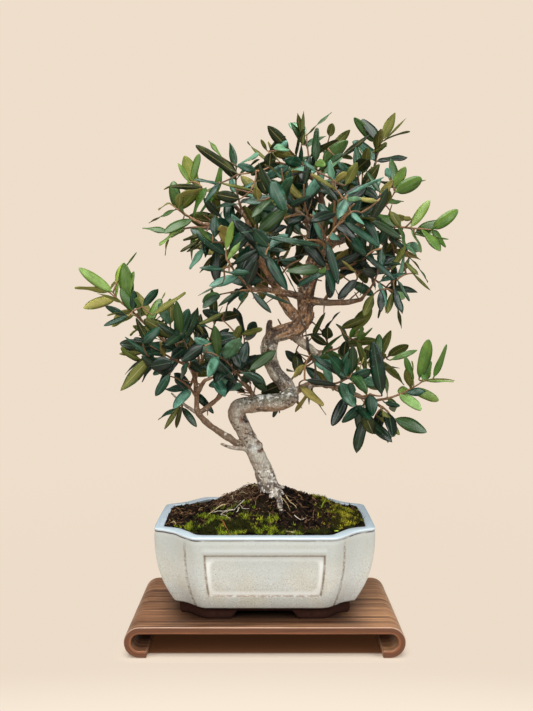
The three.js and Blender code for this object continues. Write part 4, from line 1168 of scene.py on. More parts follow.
def bark_material():
    n = Nodes("bark", 0.8)
    n.colour, _, _, _, sprinkled = n.look()
    place = n.place()
    grain = n.noise(n.stretch(place, (1, 1, 0.45)), 700, 6, 0.65)
    n.lay(n.span(grain, 0.35, 0.55, 0.4, 0), (62, 46, 35))
    n.lay(n.span(grain, 0.55, 0.75, 0, 0.4), (226, 220, 208))
    n.lay(n.span(n.noise(place, 300, 2, 0.6), 0.56, 0.64, 0, 0.7) * sprinkled, (234, 234, 228))
    dark = n.noise(n.stretch(place, (1, 1, 1.7)), 190, 3, 0.6)
    n.lay(n.span(dark, 0.58, 0.64, 0, 0.9) * sprinkled, (48, 34, 25))
    return n.done(Normal=n.bump(grain + n.cells(place, 420) * 0.5, 0.0009, 0.7))


bark = bark_material()


def slimmer(index, path):
    """A limb's stations, with the long limb of the left pad slimmer than the solid one."""
    factor = 0.82 if index == LEFT_LIMB else 1
    return [(*station[:3], factor * station[3]) for station in path]


def make_limbs():
    skin = Skin()
    for index, (_, path) in enumerate(LIMBS):
        add_limb(skin, smooth_path(slimmer(index, path), 2), 12)
    for spray in sprays:
        add_limb(skin, stem_path(spray), 9)
    for path in spur_paths():
        add_limb(skin, path, 6)
    return make_mesh("limbs", skin)


SPURS, BARE_TWIGS = 44, 96


def spur_paths():
    """Short dead spurs on the upper trunk, and thin bare twigs among the limbs of the pads."""
    draw = stream(31337)
    wood = [TRUNK[2]] * SPURS + [LIMBS[int(draw() * len(LIMBS))][1] for _ in range(BARE_TWIGS)]
    for i, path in enumerate(wood):
        spur = i < SPURS
        spot = along_path(path, 0.3 + 0.66 * draw() if spur else 0.25 + 0.75 * draw())
        aside = unit(vec(draw() - 0.5, draw() - 0.5, draw() - 0.5))
        out, on = (1.2, 0.3) if spur else (0.9, 0.6)
        way = unit(aside * out + spot["way"] * on + UP * (0.35 * draw()))
        long = spot["radius"] + 2 + 9 * draw() ** 2 if spur else 8 + 16 * draw()
        bend = vec(draw() - 0.5, draw() - 0.5, draw() - 0.5) * (0.25 * long)
        thick = 1.3 if spur else 0.85
        t = np.linspace(0, 1, 6)[:, None]
        points = spot["point"] + way * (long * t) + bend * (t * t)
        if is_inside(points, 2):
            yield np.hstack([points, thick * (1 - 0.55 * t)])


def add_limb(skin, path, sides):
    """A limb with a slight wobble, a girth that swells a little, and bumps, coloured by its girth."""
    path = path.copy()
    wobble = np.column_stack([noise(path[:, :3], 9, seed) for seed in (42, 41)])
    path[:, 1:3] += 0.35 * path[:, 3:] * wobble
    path[:, 3] *= 1 + 0.14 * noise(path[:, :3], 4, 43)
    points, faces = tube(path, sides)
    rings = np.vstack([path[:1], path, path[-1:]]).repeat(sides, axis=0)
    girth = np.concatenate([rings[:, 3], path[[0, -1], 3]])
    fibre = noise(points, 2.2, 44)
    colours = tinted(
        (112, 94, 76),
        (1 - step(1.6, 4, girth), (120, 86, 56)),
        (0.5 * step(0, 0.6, noise(points, 9, 45)), (146, 132, 112)),
        (0.6 * step(0.1, 0.6, fibre), (80, 58, 42)),
    )
    points[:-2] += (0.08 * fibre * girth)[:-2, None] * unit_rows(points[:-2] - rings[:, :3])
    skin.add(points, faces, 0, np.column_stack([colours, fibre]))


def unit_rows(rows):
    return rows / np.maximum(np.linalg.norm(rows, axis=1), 1e-6)[:, None]


dress("trunk", make_trunk(), [bark], ["tree"])
dress("limbs", make_limbs(), [bark], ["tree"])

# ------------------------------------------------------------ pot

LIP = 7.8
WALL_ROWS = (  # heights and depths inside the outline, from the rim down to the floor
    (RIM_Z, POT["wall"] + 0.1), (RIM_Z - 0.4, POT["wall"] + 1), (RIM_Z - 1.4, LIP), (RIM_Z - 8, LIP),
    (90, POT["wall"]), (70, POT["wall"]), (FLOOR_Z, POT["wall"]), (BASE_Z, POT["wall"]),
)
OFF_PANEL = (-20.0, 20.0, 1.0, -20.0)  # the look of the pot's inside, far from the panels and grooves
CREASES = [3, 6, 13, 16]  # the corners of a ring that lie in the grooves
CUTS = (6.5, 5, 6, 3, 4.5)  # how far each corner of a quarter is rounded, from the short side on
BULGE = 0.4  # how much further out the middle of a short side is than its corners
BEND = np.array([0, 0.25, 0.5, 0.75, 1])[:, None]
EDGE_STEPS = (1.6, 0.9, 0.4, 0, -0.4, -0.8, -1.2, -1.6, -2, -2.4, -3)


def sizes_at(z):
    k = min(max((RIM_Z - z) / (RIM_Z - BASE_Z), 0), 1) ** POT["flare"]
    return [mix(a, b, k) for a, b in zip(POT["rim"], POT["base"])]


def columns(share, scale, outer):
    """Shares of a flat's half length at which the columns of its mesh stand, dense at the panel's edge."""
    edge = [share + mm / scale for mm in EDGE_STEPS]
    inner = np.linspace(edge[-1], -edge[-1], 16)[1:-1].tolist()
    half = [*outer, *edge]
    return [*half, *inner, *[-f for f in reversed(half)]]


LONG_COLUMNS = columns(PANEL["long_share"], 66, (0.83,))
SHORT_COLUMNS = columns(PANEL["short_share"], 37, (0.84, 0.74))


def pot_ring(z, out=0.0, inside=0.0):
    """One fine ring of the pot: its points, the face each belongs to, and how far off a groove it is."""
    half_x, half_y, fx, fy = sizes_at(z)
    x, y = half_x + out - inside, half_y + out - inside
    if inside:
        fx, fy = fx - 0.5 * inside, fy - 0.5 * inside
        shares = [(0.69, 0.12), (0.4, 0.29), (0.08, 0.7), (-0.14, 1)]
    else:
        shares = [(0.68, 0.17), (0.39, 0.355), (0.094, 0.732), (-5.5 / (x - fx), 1)]
    quarter = [(x - BULGE, fy + 1.5), *[(mix(fx, x, a), mix(fy, y, b)) for a, b in shares]]
    back = quarter + [(-a, b) for a, b in reversed(quarter)]
    corners = np.array(back + [(-a, -b) for a, b in back])
    arcs = []
    for k, corner in enumerate(corners):
        back_way = corners[k - 1] - corner
        on_way = corners[(k + 1) % 20] - corner
        turn = k % 5 if k // 5 % 2 == 0 else 4 - k % 5
        cut = min(CUTS[turn], 0.45 * math.hypot(*back_way), 0.45 * math.hypot(*on_way))
        a = corner + back_way / math.hypot(*back_way) * cut
        b = corner + on_way / math.hypot(*on_way) * cut
        arcs.append((1 - BEND) ** 2 * a + 2 * BEND * (1 - BEND) * corner + BEND**2 * b)
    points, faces = [], []
    for k, arc in enumerate(arcs):
        points.extend(arc)
        faces += [0] * 5
        if k % 5 == 4:
            turn = k // 5
            shares = LONG_COLUMNS if turn % 2 == 0 else SHORT_COLUMNS
            for f in shares:
                side = x - BULGE * f * f
                place = [(f * fx, y), (-side, f * fy), (-f * fx, -y), (side, -f * fy)][turn]
                points.append(np.array(place))
            faces += [1 + turn % 2] * len(shares)
        else:
            for t in (0.33, 0.67):
                points.append(mix(arc[-1], arcs[k + 1][0], t))
            faces += [0, 0]
    points = np.array(points)
    groove = np.linalg.norm(points[:, None] - corners[CREASES][None], axis=2).min(axis=1)
    placed = np.column_stack([points[:, 0], points[:, 1] + POT["centre_y"], np.full(len(points), z)])
    return placed, np.array(faces), groove


def outer_heights():
    return [
        *[BASE_Z + h for h in (0.5, 1.2, 2, 3.5, 6, 9, 12)],
        *[PANEL_LOW - h for h in EDGE_STEPS],
        *np.linspace(PANEL_LOW + 3, PANEL_HIGH - 3, 14)[1:-1].tolist(),
        *[PANEL_HIGH + h for h in reversed(EDGE_STEPS)],
        *[PANEL_HIGH + h for h in (2.4, 3.2, 4, 4.8, 5.6, 6.4)],
        *[RIM_Z - h for h in (8.8, 7.8, 6.8, 6, 5.4, 4.8, 4.3, 3.9, 3.5, 3.2, 2.9, 2.6, 2.3, 2)],
    ]


def panel_gap(points, face, z):
    """How far inside the panel a point of a flat face is, in millimetres, or outside if it's negative."""
    _, _, flat_x, flat_y = sizes_at(z)
    reach_x = PANEL["long_share"] * flat_x - np.abs(points[:, 0])
    reach_y = PANEL["short_share"] * flat_y - np.abs(points[:, 1] - POT["centre_y"])
    reach = np.where(face == 1, reach_x, reach_y)
    gap = np.minimum(reach, min(z - PANEL_LOW, PANEL_HIGH - z))
    return np.where(face == 0, -20, gap), np.where(face == 0, -20, reach)


def outer_ring(z, out, with_panel=True):
    points, face, groove = pot_ring(z, out)
    gap, reach = panel_gap(points, face, z)
    if with_panel:
        sunk = PANEL["depth"] * step(-0.5, 1.9, gap)
        roll = 0.45 * math.exp(-(((z - PANEL_HIGH - 3) / 1.9) ** 2)) * step(-3, 1, reach)
        move = roll - sunk
        sign_y = np.sign(points[:, 1] - POT["centre_y"])
        points[:, 1] += np.where(face == 1, move * sign_y, 0)
        points[:, 0] += np.where(face == 2, move * np.sign(points[:, 0]), 0)
        notch = 1.0 * np.exp(-((groove / 1.3) ** 2)) * step(RIM_Z - 5, RIM_Z - 9, z)
        points[:, :2] -= notch[:, None] * unit_rows(points[:, :2] - (0, POT["centre_y"]))
    looks = np.column_stack([gap, groove, np.zeros(len(points)), reach])
    return points, looks


def pot_rings():
    """The rings of the pot up its outside, round its rim and down its inside, each with its looks."""
    yield outer_ring(BASE_Z, -1.1, False)
    for z in outer_heights():
        under_rim = -0.5 * step(RIM_Z - 7, RIM_Z - 3.4, z) * (1 - step(RIM_Z - 3, RIM_Z - 2.3, z))
        low = -1.1 * (1 - step(BASE_Z, BASE_Z + 1.6, z))
        yield outer_ring(z, under_rim + low)
    for angle in np.linspace(0, math.pi / 2, 5):
        z = RIM_Z + POT["edge"] * (math.sin(angle) - 1)
        yield outer_ring(z, POT["edge"] * (math.cos(angle) - 1), False)
    for z, inside in WALL_ROWS:
        points, _, _ = pot_ring(z, inside=inside)
        yield points, np.tile(OFF_PANEL, (len(points), 1))


def make_pot():
    rings, looks = zip(*pot_rings())
    count = len(rings[0])
    faces = band(len(rings) + 1, count) % (len(rings) * count)
    below = np.arange(len(faces)) >= len(faces) - count
    skin = Skin()
    skin.add(np.vstack(rings), faces, below.astype(int), np.vstack(looks))
    return skin


def solid_mesh(name, rings):
    """A closed mesh through rings of points."""
    points, faces = closed(rings)
    mesh = bpy.data.meshes.new(name)
    mesh.from_pydata((points * MM).tolist(), [], [face for group in faces for face in group.tolist()])
    return mesh


def slab(x, y, low, high, shrink=0.0):
    """A block with half sizes x and y, narrower by `shrink` at its top."""
    rings = []
    for z, half in ((low, x), (high, x - shrink)):
        corners = [(-half, -y), (half, -y), (half, y), (-half, y)]
        rings.append(np.array([(a, b + POT["centre_y"], z) for a, b in corners]))
    return solid_mesh("slab", rings)


def drain(side):
    angles = np.linspace(0, 2 * math.pi, 33)[:-1]
    x = side * POT["drain_x"] + POT["drain_radius"] * np.cos(angles)
    y = POT["centre_y"] + POT["drain_radius"] * np.sin(angles)
    rings = [np.column_stack([x, y, np.full(32, z)]) for z in (BASE_Z - 5, FLOOR_Z + 5)]
    return solid_mesh("drain", rings)


def carved(mesh, cutters):
    for cutter in cutters:
        holder = put_object("cutter", cutter)
        mesh = evaluated(mesh, "BOOLEAN", object=holder, operation="DIFFERENCE", solver="MANIFOLD")
        bpy.data.objects.remove(holder)
    return mesh


def base_ring(z, out=0.0, inside=0.0):
    """The pot's outline at its base, at another height."""
    points = pot_ring(BASE_Z, out, inside)[0]
    points[:, 2] = z
    return points


def foot_ring(share):
    """A ring of the foot's outside, at a share of its height."""
    out = -POT["foot_inset"] + 0.5 * (1 - share) + 0.7 * math.sin(2 * math.pi * share)
    return base_ring(mix(TOP, BASE_Z + 0.5, share), out) * (mix(*POT["foot_taper"], share), 1, 1)


def make_foot(skin):
    """The clay foot with its well and cut-outs, and the floor of the pot with its drain holes."""
    drains = [drain(-1), drain(1)]
    foot = solid_mesh("foot", [foot_ring(share) for share in np.linspace(0, 1, 9)])
    well = [base_ring(TOP - 1, inside=POT["wall"] + 5), base_ring(BASE_Z - 1.5, inside=POT["wall"] + 4)]
    top = TOP + POT["arch_height"]
    front = slab(POT["arch_half_x"], POT["rim"][1] + 10, TOP - 1, top, POT["arch_slope"])
    sides = slab(POT["rim"][0] + 10, POT["arch_half_y"], TOP - 1, top)
    plate = solid_mesh("plate", [pot_ring(z, inside=POT["wall"] - 0.5)[0] for z in (BASE_Z, FLOOR_Z)])
    for mesh in (carved(foot, [solid_mesh("well", well), front, sides, *drains]), carved(plate, drains)):
        mesh.calc_loop_triangles()
        triangles = np.array([t.vertices[:] for t in mesh.loop_triangles])
        skin.add(places_of(mesh), triangles, 1, OFF_PANEL)


def glaze_material():
    n = Nodes("glaze", 0.24)
    _, gap, groove, inside, reach = n.look()
    place = n.place()
    level = n.axes(place)[2] / MM
    z = level + (n.noise(place, 70, 3) - 0.5) * 1.6
    ragged = (n.noise(place, 420, 4, 0.7) - 0.5) * 1.8
    n.colour = n.mix(n.span(n.noise(place, 40, 3), 0.35, 0.65), (200, 202, 193), (209, 212, 206))
    n.lay(n.span(n.noise(place, 22, 2), 0.42, 0.62, 0, 0.6), (196, 206, 209))
    speckle = n.noise(place, 900, 2, 0.7)
    n.lay(n.span(speckle, 0.56, 0.68, 0, 0.6), (238, 239, 235))
    n.lay(n.span(speckle, 0.45, 0.33, 0, 0.65), (156, 147, 130))
    grit = n.noise(place, 480, 3, 0.7)
    n.lay(n.span(grit, 0.6, 0.74, 0, 0.45), (236, 238, 236))
    n.lay(n.span(grit, 0.4, 0.28, 0, 0.45), (170, 163, 148))
    pits = n.span(n.cells(place, 210), 0.07, 0.12, 0.9, 0)
    n.lay(pits * n.span(n.noise(place, 90, 2), 0.5, 0.6), (80, 62, 50))
    # Painted highlights above the panel and on its lower ledge, painted shade darkening the glaze toward the
    # rim, and brown along its edge and in the grooves.
    above = n.between(z, PANEL_HIGH + 0.6, PANEL_HIGH + 2.4, PANEL_HIGH + 4.5, PANEL_HIGH + 8)
    # Painted highlight on the roll above the panel.
    n.lay(above * n.span(reach, -4, 1) * 0.6, (214, 222, 224))
    # Painted shade darkens the glaze toward the rim.
    n.lay(n.span(z, BASE_Z + 20, RIM_Z - 8, 0, 0.8), (168, 172, 168))
    lower = n.span(z, PANEL_HIGH - 2, PANEL_HIGH - 9, 0.12, 1)
    # Painted highlight on the panel's lower ledge.
    n.lay(n.between(gap, 1.2, 2.4, 3.4, 7) * lower * 0.7, (236, 240, 240))
    edge = n.between(gap + ragged, -0.9, 0.5, 0.7, 2.2)
    thin = n.span(n.noise(place, 210, 4, 0.65), 0.32, 0.52, 0.35, 1)
    foot_of_panel = n.span(z, PANEL_LOW + 8, PANEL_LOW + 4, 0, 1)
    strong = n.math("MAXIMUM", n.span(reach - gap, 0.2, 2.5, 1, 0.55), foot_of_panel)
    n.lay(edge * thin * strong * 0.9, (122, 102, 80))
    dots = n.span(n.noise(place, 300, 4, 0.7), 0.4, 0.62, 0.22, 1)
    line = n.span(groove + abs(ragged), 0.8, 3.1, 1, 0) * dots * n.span(z, RIM_Z - 5, RIM_Z - 12)
    n.lay(line * 0.8, (118, 98, 78))
    # Dark patches under the rim, partly brown glaze and partly painted shadow under its overhang, a pale rim
    # with a painted highlight streak, and a brown skirt at the base.
    patchy = n.span(n.noise(n.stretch(place, (1, 1, 3)), 60, 4), 0.35, 0.5, 0.3, 1)
    under = n.between(z, RIM_Z - 4.2, RIM_Z - 3.3, RIM_Z - 2.9, RIM_Z - 2.1)
    # Partly brown glaze and partly painted shadow under the rim's overhang.
    n.lay(under * patchy * n.span(reach, -0.5, -4, 0.45, 1), (62, 50, 50))
    n.lay(n.span(z, RIM_Z - 2.9, RIM_Z - 2.0) * 0.9, (162, 177, 186))
    # A painted highlight streak along the rim.
    n.lay(n.between(level, RIM_Z - 1.9, RIM_Z - 1.1, RIM_Z - 0.6, RIM_Z - 0.2) * 0.5, (222, 230, 234))
    n.lay(n.span(level, RIM_Z - 0.12, RIM_Z - 0.01, 0, 0.6), (176, 196, 208))
    n.lay(n.span(z, BASE_Z + 0.9, BASE_Z + 2.0, 1, 0) * 0.9, (66, 46, 36))
    n.lay(inside, (182, 194, 202))
    relief = n.noise(place, 90, 3) + grit * 0.16 - pits * 0.3
    return n.done(Normal=n.bump(relief, 0.0012, 0.35))


def clay_material():
    n = Nodes("clay", 0.9, 0.15)
    place = n.place()
    n.colour = n.mix(n.noise(place, 300, 5), (26, 12, 8), (58, 30, 20))
    return n.done(Normal=n.bump(n.noise(place, 700, 5), 0.0006, 0.5))


pot_skin = make_pot()
make_foot(pot_skin)
dress("pot_fine", make_mesh("pot_fine", pot_skin), [glaze_material(), clay_material()], ["pot"])

# ------------------------------------------------------------ soil


def soil_skin():
    skin = Skin()
    rings = [pot_ring(z, inside=POT["wall"] + 0.3)[0] for z in (FLOOR_Z + 0.3, 70, 90, RIM_Z - 7)]
    edge = rings[-1]
    for share in np.linspace(1, 0.02, 64):
        points = edge.copy()
        points[:, :2] = mix(np.array(FOOT_CENTRE, float), edge[:, :2], share)
        lump = 1.1 * noise(points, 6, 51) + 0.8 * noise(points, 2.6, 52) + 0.5 * noise(points, 1.2, 53)
        points[:, 2] = ground_at(points[:, 0], points[:, 1]) + lump * min(1, (1 - share) * 14 + 0.3)
        rings.append(points)
    points, faces = closed(rings)
    looks = np.zeros((len(points), 4))
    looks[:, 2] = 0.1 + 0.3 * noise(points, 3, 54)
    skin.add(points, faces, 0, looks)
    return skin


BALL_FACES = np.array([
    (0, 1, 2), (0, 2, 3), (0, 3, 4), (0, 4, 1), (5, 2, 1), (5, 3, 2), (5, 4, 3), (5, 1, 4),
])
BALL = np.array([(0, 0, 1), (1, 0, 0), (0, 1, 0), (-1, 0, 0), (0, -1, 0), (0, 0, -1)], float)
CHIP = np.array([
    (-1, -1, -1), (1, -0.7, -1), (0.8, 1, -1), (-0.9, 0.8, -1), (-0.9, -0.8, 1), (0.9, -0.9, 1), (1, 0.8, 1),
    (-1, 1, 1),
])
CHIP_FACES = np.array([
    (0, 3, 2), (0, 2, 1), (4, 5, 6), (4, 6, 7), (0, 1, 5), (0, 5, 4), (1, 2, 6), (1, 6, 5), (2, 3, 7),
    (2, 7, 6), (3, 0, 4), (3, 4, 7),
])


def on_soil(draw, spread=1.0):
    """A place on the open ground, inside the pot's wall and clear of the trunk."""
    while True:
        x = (draw() * 2 - 1) * (POT["rim"][0] - 10)
        y = (draw() * 2 - 1) * (POT["rim"][1] - 10) + POT["centre_y"]
        _, _, flat_x, flat_y = sizes_at(RIM_Z - 4)
        corner = abs(x) / flat_x + abs(y - POT["centre_y"]) / flat_y
        if corner < 2.1 * spread and math.hypot(x - FOOT_CENTRE[0], y - FOOT_CENTRE[1]) > 15:
            return x, y


def turned(points, draw, flat):
    """Points turned at random about the upright axis, then tilted a little."""
    a, b, c = 6.283 * draw(), (draw() - 0.5) * flat * 3, (draw() - 0.5) * flat * 3
    spin = np.array([(math.cos(a), -math.sin(a), 0), (math.sin(a), math.cos(a), 0), (0, 0, 1)])
    tip = np.array([(1, 0, 0), (0, math.cos(b), -math.sin(b)), (0, math.sin(b), math.cos(b))])
    roll = np.array([(math.cos(c), 0, math.sin(c)), (0, 1, 0), (-math.sin(c), 0, math.cos(c))])
    return points @ tip.T @ roll.T @ spin.T


def add_crumb(skin, place, size, rough, fade, draw):
    """A rough grain. A higher `fade` makes more of them dark."""
    reach = 1 - rough / 2 + rough * np.array([draw() for _ in BALL])[:, None]
    shape = turned(BALL * (1, 0.8, 0.75), draw, 1) * size * reach
    skin.add(shape + place, BALL_FACES, 0, (0, 0, draw() ** fade, 0))


def add_chip(skin, place, half, tilt, draw, tones):
    """A flat piece of bark. Tones are the least, the range, and the power of the draw."""
    shape = turned(CHIP * half * 0.8, draw, tilt)
    least, extent, power = tones
    skin.add(shape + place, CHIP_FACES, 1, (0, 0, least + extent * draw() ** power, 0))


CRUMBS, CHIPS, STRAWS = 2600, 900, 150  # the first chips are straws


def add_crumbs(skin, draw):
    for _ in range(CRUMBS):
        x, y = on_soil(draw)
        size = 0.5 + 2.0 * draw() ** 3
        add_crumb(skin, (x, y, float(ground_at(x, y)) + 0.4 + 0.3 * size), size, 0.4, 2.2, draw)
    for k in range(CHIPS):
        x, y = on_soil(draw)
        if k < STRAWS:
            half, tones = (1.6 + 4.2 * draw() ** 2, 0.22 + 0.2 * draw(), 0.2), (0.5, 0.6, 1)
        else:
            half = (1.0 + 3.4 * draw() ** 2, 0.5 + 1.1 * draw() ** 2, 0.2 + 0.4 * draw())
            tones = (0, 1, 2.4)
        add_chip(skin, (x, y, float(ground_at(x, y)) + 1.2), half, 0.45, draw, tones)


# Roots and twigs that stand out on the ground, as places [x, y], with their radius and material.
STRANDS = [
    ([(-20, -17), (-24.8, -20.6), (-27.8, -25.3), (-30.2, -26.6), (-33.7, -25.6), (-36.7, -28)], 0.55, 3),
    ([(-32, -26), (-37.9, -25), (-41.8, -30.1), (-37.6, -31.8), (-32.7, -34.7)], 0.45, 3),
    ([(-30.2, -26.6), (-37, -23), (-43.6, -19.5), (-49.8, -21.1)], 0.55, 3),
    ([(-39.1, -12.9), (-46.4, -15.7), (-51, -18.8), (-53.4, -23.4)], 0.7, 4),
    ([(-32.1, -1.2), (-30.8, -6.1), (-27.9, -9.2), (-22.9, -13.7)], 0.55, 3),
    ([(-33.7, -0.8), (-35.1, -6.7), (-36.7, -13.4)], 0.5, 2),
    ([(-24.6, -25.8), (-27.1, -30)], 0.6, 3),
    ([(-24.2, -21), (-20, -26), (-15, -27.5)], 0.4, 3),
    ([(-69.2, -2.2), (-74.2, 2.6), (-78.7, -0.5)], 0.6, 2),
    ([(-91, -13), (-88, -20), (-84.3, -29)], 0.5, 4),
    ([(-41.5, -37), (-38, -42), (-36.5, -47), (-33.3, -54)], 0.6, 5),
    ([(-38, -42), (-42, -46)], 0.5, 5),
    ([(59.9, -7.4), (63, -12), (66.1, -19)], 0.45, 5),
    ([(20, -8), (27, -15), (30, -22)], 0.5, 4),
    ([(14, -12), (21, -16), (24, -24)], 0.4, 4),
    ([(-2, -13), (-8, -17), (-9, -24)], 0.45, 2),
    ([(28, -30), (34, -31.5), (39, -30)], 0.45, 3),
]


def add_strand(skin, places, radius, kind, draw):
    line = smooth_path([(x, y, 0, 0) for x, y in places], 1.2)
    share = np.linspace(0, 1, len(line))
    over = 3.4 * step(-10, -16, line[:, 1]) * step(12, 4, line[:, 0]) * step(-84, -76, line[:, 0])
    line[:, 2] = ground_at(line[:, 0], line[:, 1]) + 1.8 + over + 0.7 * np.sin(5 * share + 6 * draw())
    line[:, 3] = radius * (1 - 0.55 * share)
    line[:, :3] += 0.35 * noise(line[:, :3], 2.5, 55)[:, None]
    add_tube(skin, line, 6, kind, draw())


FIBRES, SPREAD_FIBRES = 640, 260  # the first of them lie all over, the others on the mound


def add_roots(skin, draw):
    """The strands, and dark fibres all over, most of them on the mound left of the trunk."""
    for places, radius, kind in STRANDS:
        add_strand(skin, places, radius, kind, draw)
    for k in range(FIBRES):
        if k >= SPREAD_FIBRES:
            x, y = FOOT_CENTRE[0] - 12 - 40 * draw(), -22 + 40 * draw()
            way = math.pi * (0.8 + 0.5 * draw())
        else:
            x, y = on_soil(draw, 0.9)
            way = 6.283 * draw()
        length = 4 + 13 * draw() ** 1.4
        count = int(length / 1.1)
        radius = 0.2 + 0.36 * draw() ** 2
        rise = 1.1 * draw() ** 3
        stations = []
        for s in range(count + 1):
            z = float(ground_at(x, y)) + 1.1 + 0.5 * math.sin(0.9 * s + k) + rise * s * 0.35
            stations.append((x, y, z, radius * (1 - 0.6 * s / count)))
            way += (draw() - 0.5) * 0.8
            x += 1.1 * math.cos(way)
            y += 1.1 * math.sin(way)
            if math.hypot(x - FOOT_CENTRE[0], y - FOOT_CENTRE[1]) < 11 or not in_pot(x, y, 11):
                break
        if len(stations) > 2:
            kind = 4 if draw() < 0.05 else 2
            add_tube(skin, np.array(stations), 4, kind, draw() ** 1.5)


GRASS = [(55, -9, 112, 0.9), (54.5, -9, 121, 0.7), (56.5, -9, 128, 0.5), (60.5, -8, 134, 0.25)]
FALLEN_LEAF = {"x": 65.8, "y": -50.5, "lift": 3.2, "half": (1.9, 1.5, 0.25)}
BARK_CHIP = {"x": 23.1, "y": -53.7, "lift": 2.6, "half": (4.6, 1.1, 0.4)}
CHIP_TURN = -0.5


def add_keepsakes(skin):
    """A blade of grass, a fallen leaf and a pale chip of bark."""
    add_tube(skin, smooth_path(GRASS, 1.5), 5, 6, 0.6)
    for thing, turn, kind, tone in ((FALLEN_LEAF, 0, 6, 1), (BARK_CHIP, CHIP_TURN, 4, 0.4)):
        c, s = math.cos(turn), math.sin(turn)
        shape = CHIP * thing["half"] @ np.array([(c, s, 0), (-s, c, 0), (0, 0, 1)])
        z = float(ground_at(thing["x"], thing["y"])) + thing["lift"]
        skin.add(shape + (thing["x"], thing["y"], z), CHIP_FACES, kind, (0, 0, tone, 0))


def in_pot(x, y, margin):
    _, _, flat_x, flat_y = sizes_at(RIM_Z - 3)
    half_x, half_y = POT["rim"][0] - margin, POT["rim"][1] - margin
    y = y - POT["centre_y"]
    start_x, start_y = flat_x - 16, flat_y - 12
    slant = (abs(x) - start_x) / (half_x - start_x) + (abs(y) - start_y) / (half_y - start_y)
    return abs(x) < half_x and abs(y) < half_y and (slant < 1 or abs(x) < start_x or abs(y) < start_y)


def earth_material(name, dark, light, rough=0.95, scale=500):
    n = Nodes(name, rough, 0.1)
    tone = n.look()[3]
    grain = n.noise(n.place(), scale, 6, 0.7)
    lit = tone * n.span(grain, 0.3, 0.7, 0.3, 1.3) + n.span(grain, 0.45, 0.8, 0, 0.08)
    n.colour = n.mix(lit, dark, light)
    return n.done(Normal=n.bump(grain, 0.0012, 0.8))


soil_draw = stream(501)
ground = soil_skin()
add_crumbs(ground, soil_draw)
add_roots(ground, soil_draw)
add_keepsakes(ground)
earth_set = [
    earth_material("earth", (5, 3, 2), (70, 50, 35), scale=900),
    earth_material("chips", (12, 8, 5), (158, 118, 82)),
    earth_material("root_brown", (34, 23, 17), (138, 106, 80)),
    earth_material("root_pale", (150, 140, 122), (216, 208, 192), 0.7),
    earth_material("straw", (150, 128, 84), (216, 200, 158), 0.7),
    earth_material("twig_rust", (120, 70, 36), (186, 128, 80), 0.8),
    earth_material("grass", (96, 108, 44), (168, 196, 60), 0.6),
]
dress("soil_fine", make_mesh("soil_fine", ground), earth_set, ["soil"])

# ------------------------------------------------------------ moss

MOSS = [
    {"name": "moss_front_left", "centre": (-36, -33), "half": (44, 20), "turn": 0.1, "thick": 3.2,
     "tufts": 1700, "youth": 0.25},
    {"name": "moss_right", "centre": (66, -18), "half": (19, 24), "turn": 0.3, "thick": 2.8,
     "tufts": 760, "youth": 0.7},
    {"name": "moss_back_right", "centre": (42, 38), "half": (30, 15), "turn": -0.2, "thick": 3,
     "tufts": 760, "youth": 0.75},
]


def moss_wave(cushion, angle):
    """How far a cushion's edge reaches at an angle, as a share of its half size."""
    cx, cy = cushion["centre"]
    return 1 + 0.09 * np.sin(3 * angle + cx) + 0.06 * np.sin(5 * angle + cy)


def moss_outline(cushion, angle):
    (cx, cy), (a, b) = cushion["centre"], cushion["half"]
    c, s = math.cos(cushion["turn"]), math.sin(cushion["turn"])
    wave = moss_wave(cushion, angle)
    x, y = a * wave * np.cos(angle), b * wave * np.sin(angle)
    return cx + x * c - y * s, cy + x * s + y * c


def dome(cushion, share):
    """How high a cushion rises at a share of the way from its middle to its edge."""
    return cushion["thick"] * (1 - share**14) * 0.9


def cushion_skin(cushion):
    """A low dome of moss on the ground, with a rounded edge."""
    edge_x, edge_y = moss_outline(cushion, np.linspace(0, 2 * math.pi, 97)[:-1])
    cx, cy = cushion["centre"]
    limit_x, limit_y = POT["rim"][0] - 9, POT["rim"][1] - 9
    edge_x = np.clip(edge_x, -limit_x, limit_x)
    edge_y = np.clip(edge_y, -limit_y + POT["centre_y"], limit_y + POT["centre_y"])
    rings = []
    for share in (1, 1, 0.985, 0.95, 0.9, *np.linspace(0.84, 0.02, 20)):
        x, y = mix(cx, edge_x, share), mix(cy, edge_y, share)
        lift = dome(cushion, share) + 0.3 if rings else 0.25
        points = np.column_stack([x, y, ground_at(x, y) + lift])
        if len(rings) > 1:
            points[:, 2] += 1.5 * noise(points, 6, 61) + 0.8 * noise(points, 2.6, 62) - 0.9
        rings.append(points)
    points, faces = closed(rings)
    points[-2, 2] = rings[0][:, 2].min()
    looks = np.zeros((len(points), 4))
    looks[:, 0] = bare(points)
    # A near-black tone under the tufts: partly the moss's own colour and partly painted shade among them.
    looks[:, 2] = 0.03 + 0.04 * noise(points, 3, 63)
    looks[:, 3] = 0.5 + 0.5 * noise(points, 18, 64)
    skin = Skin()
    skin.add(points, faces, 0, looks)
    return skin


BLADE_FACES = np.array([(0, 1, 3), (1, 2, 3), (2, 0, 3), (0, 2, 1)])


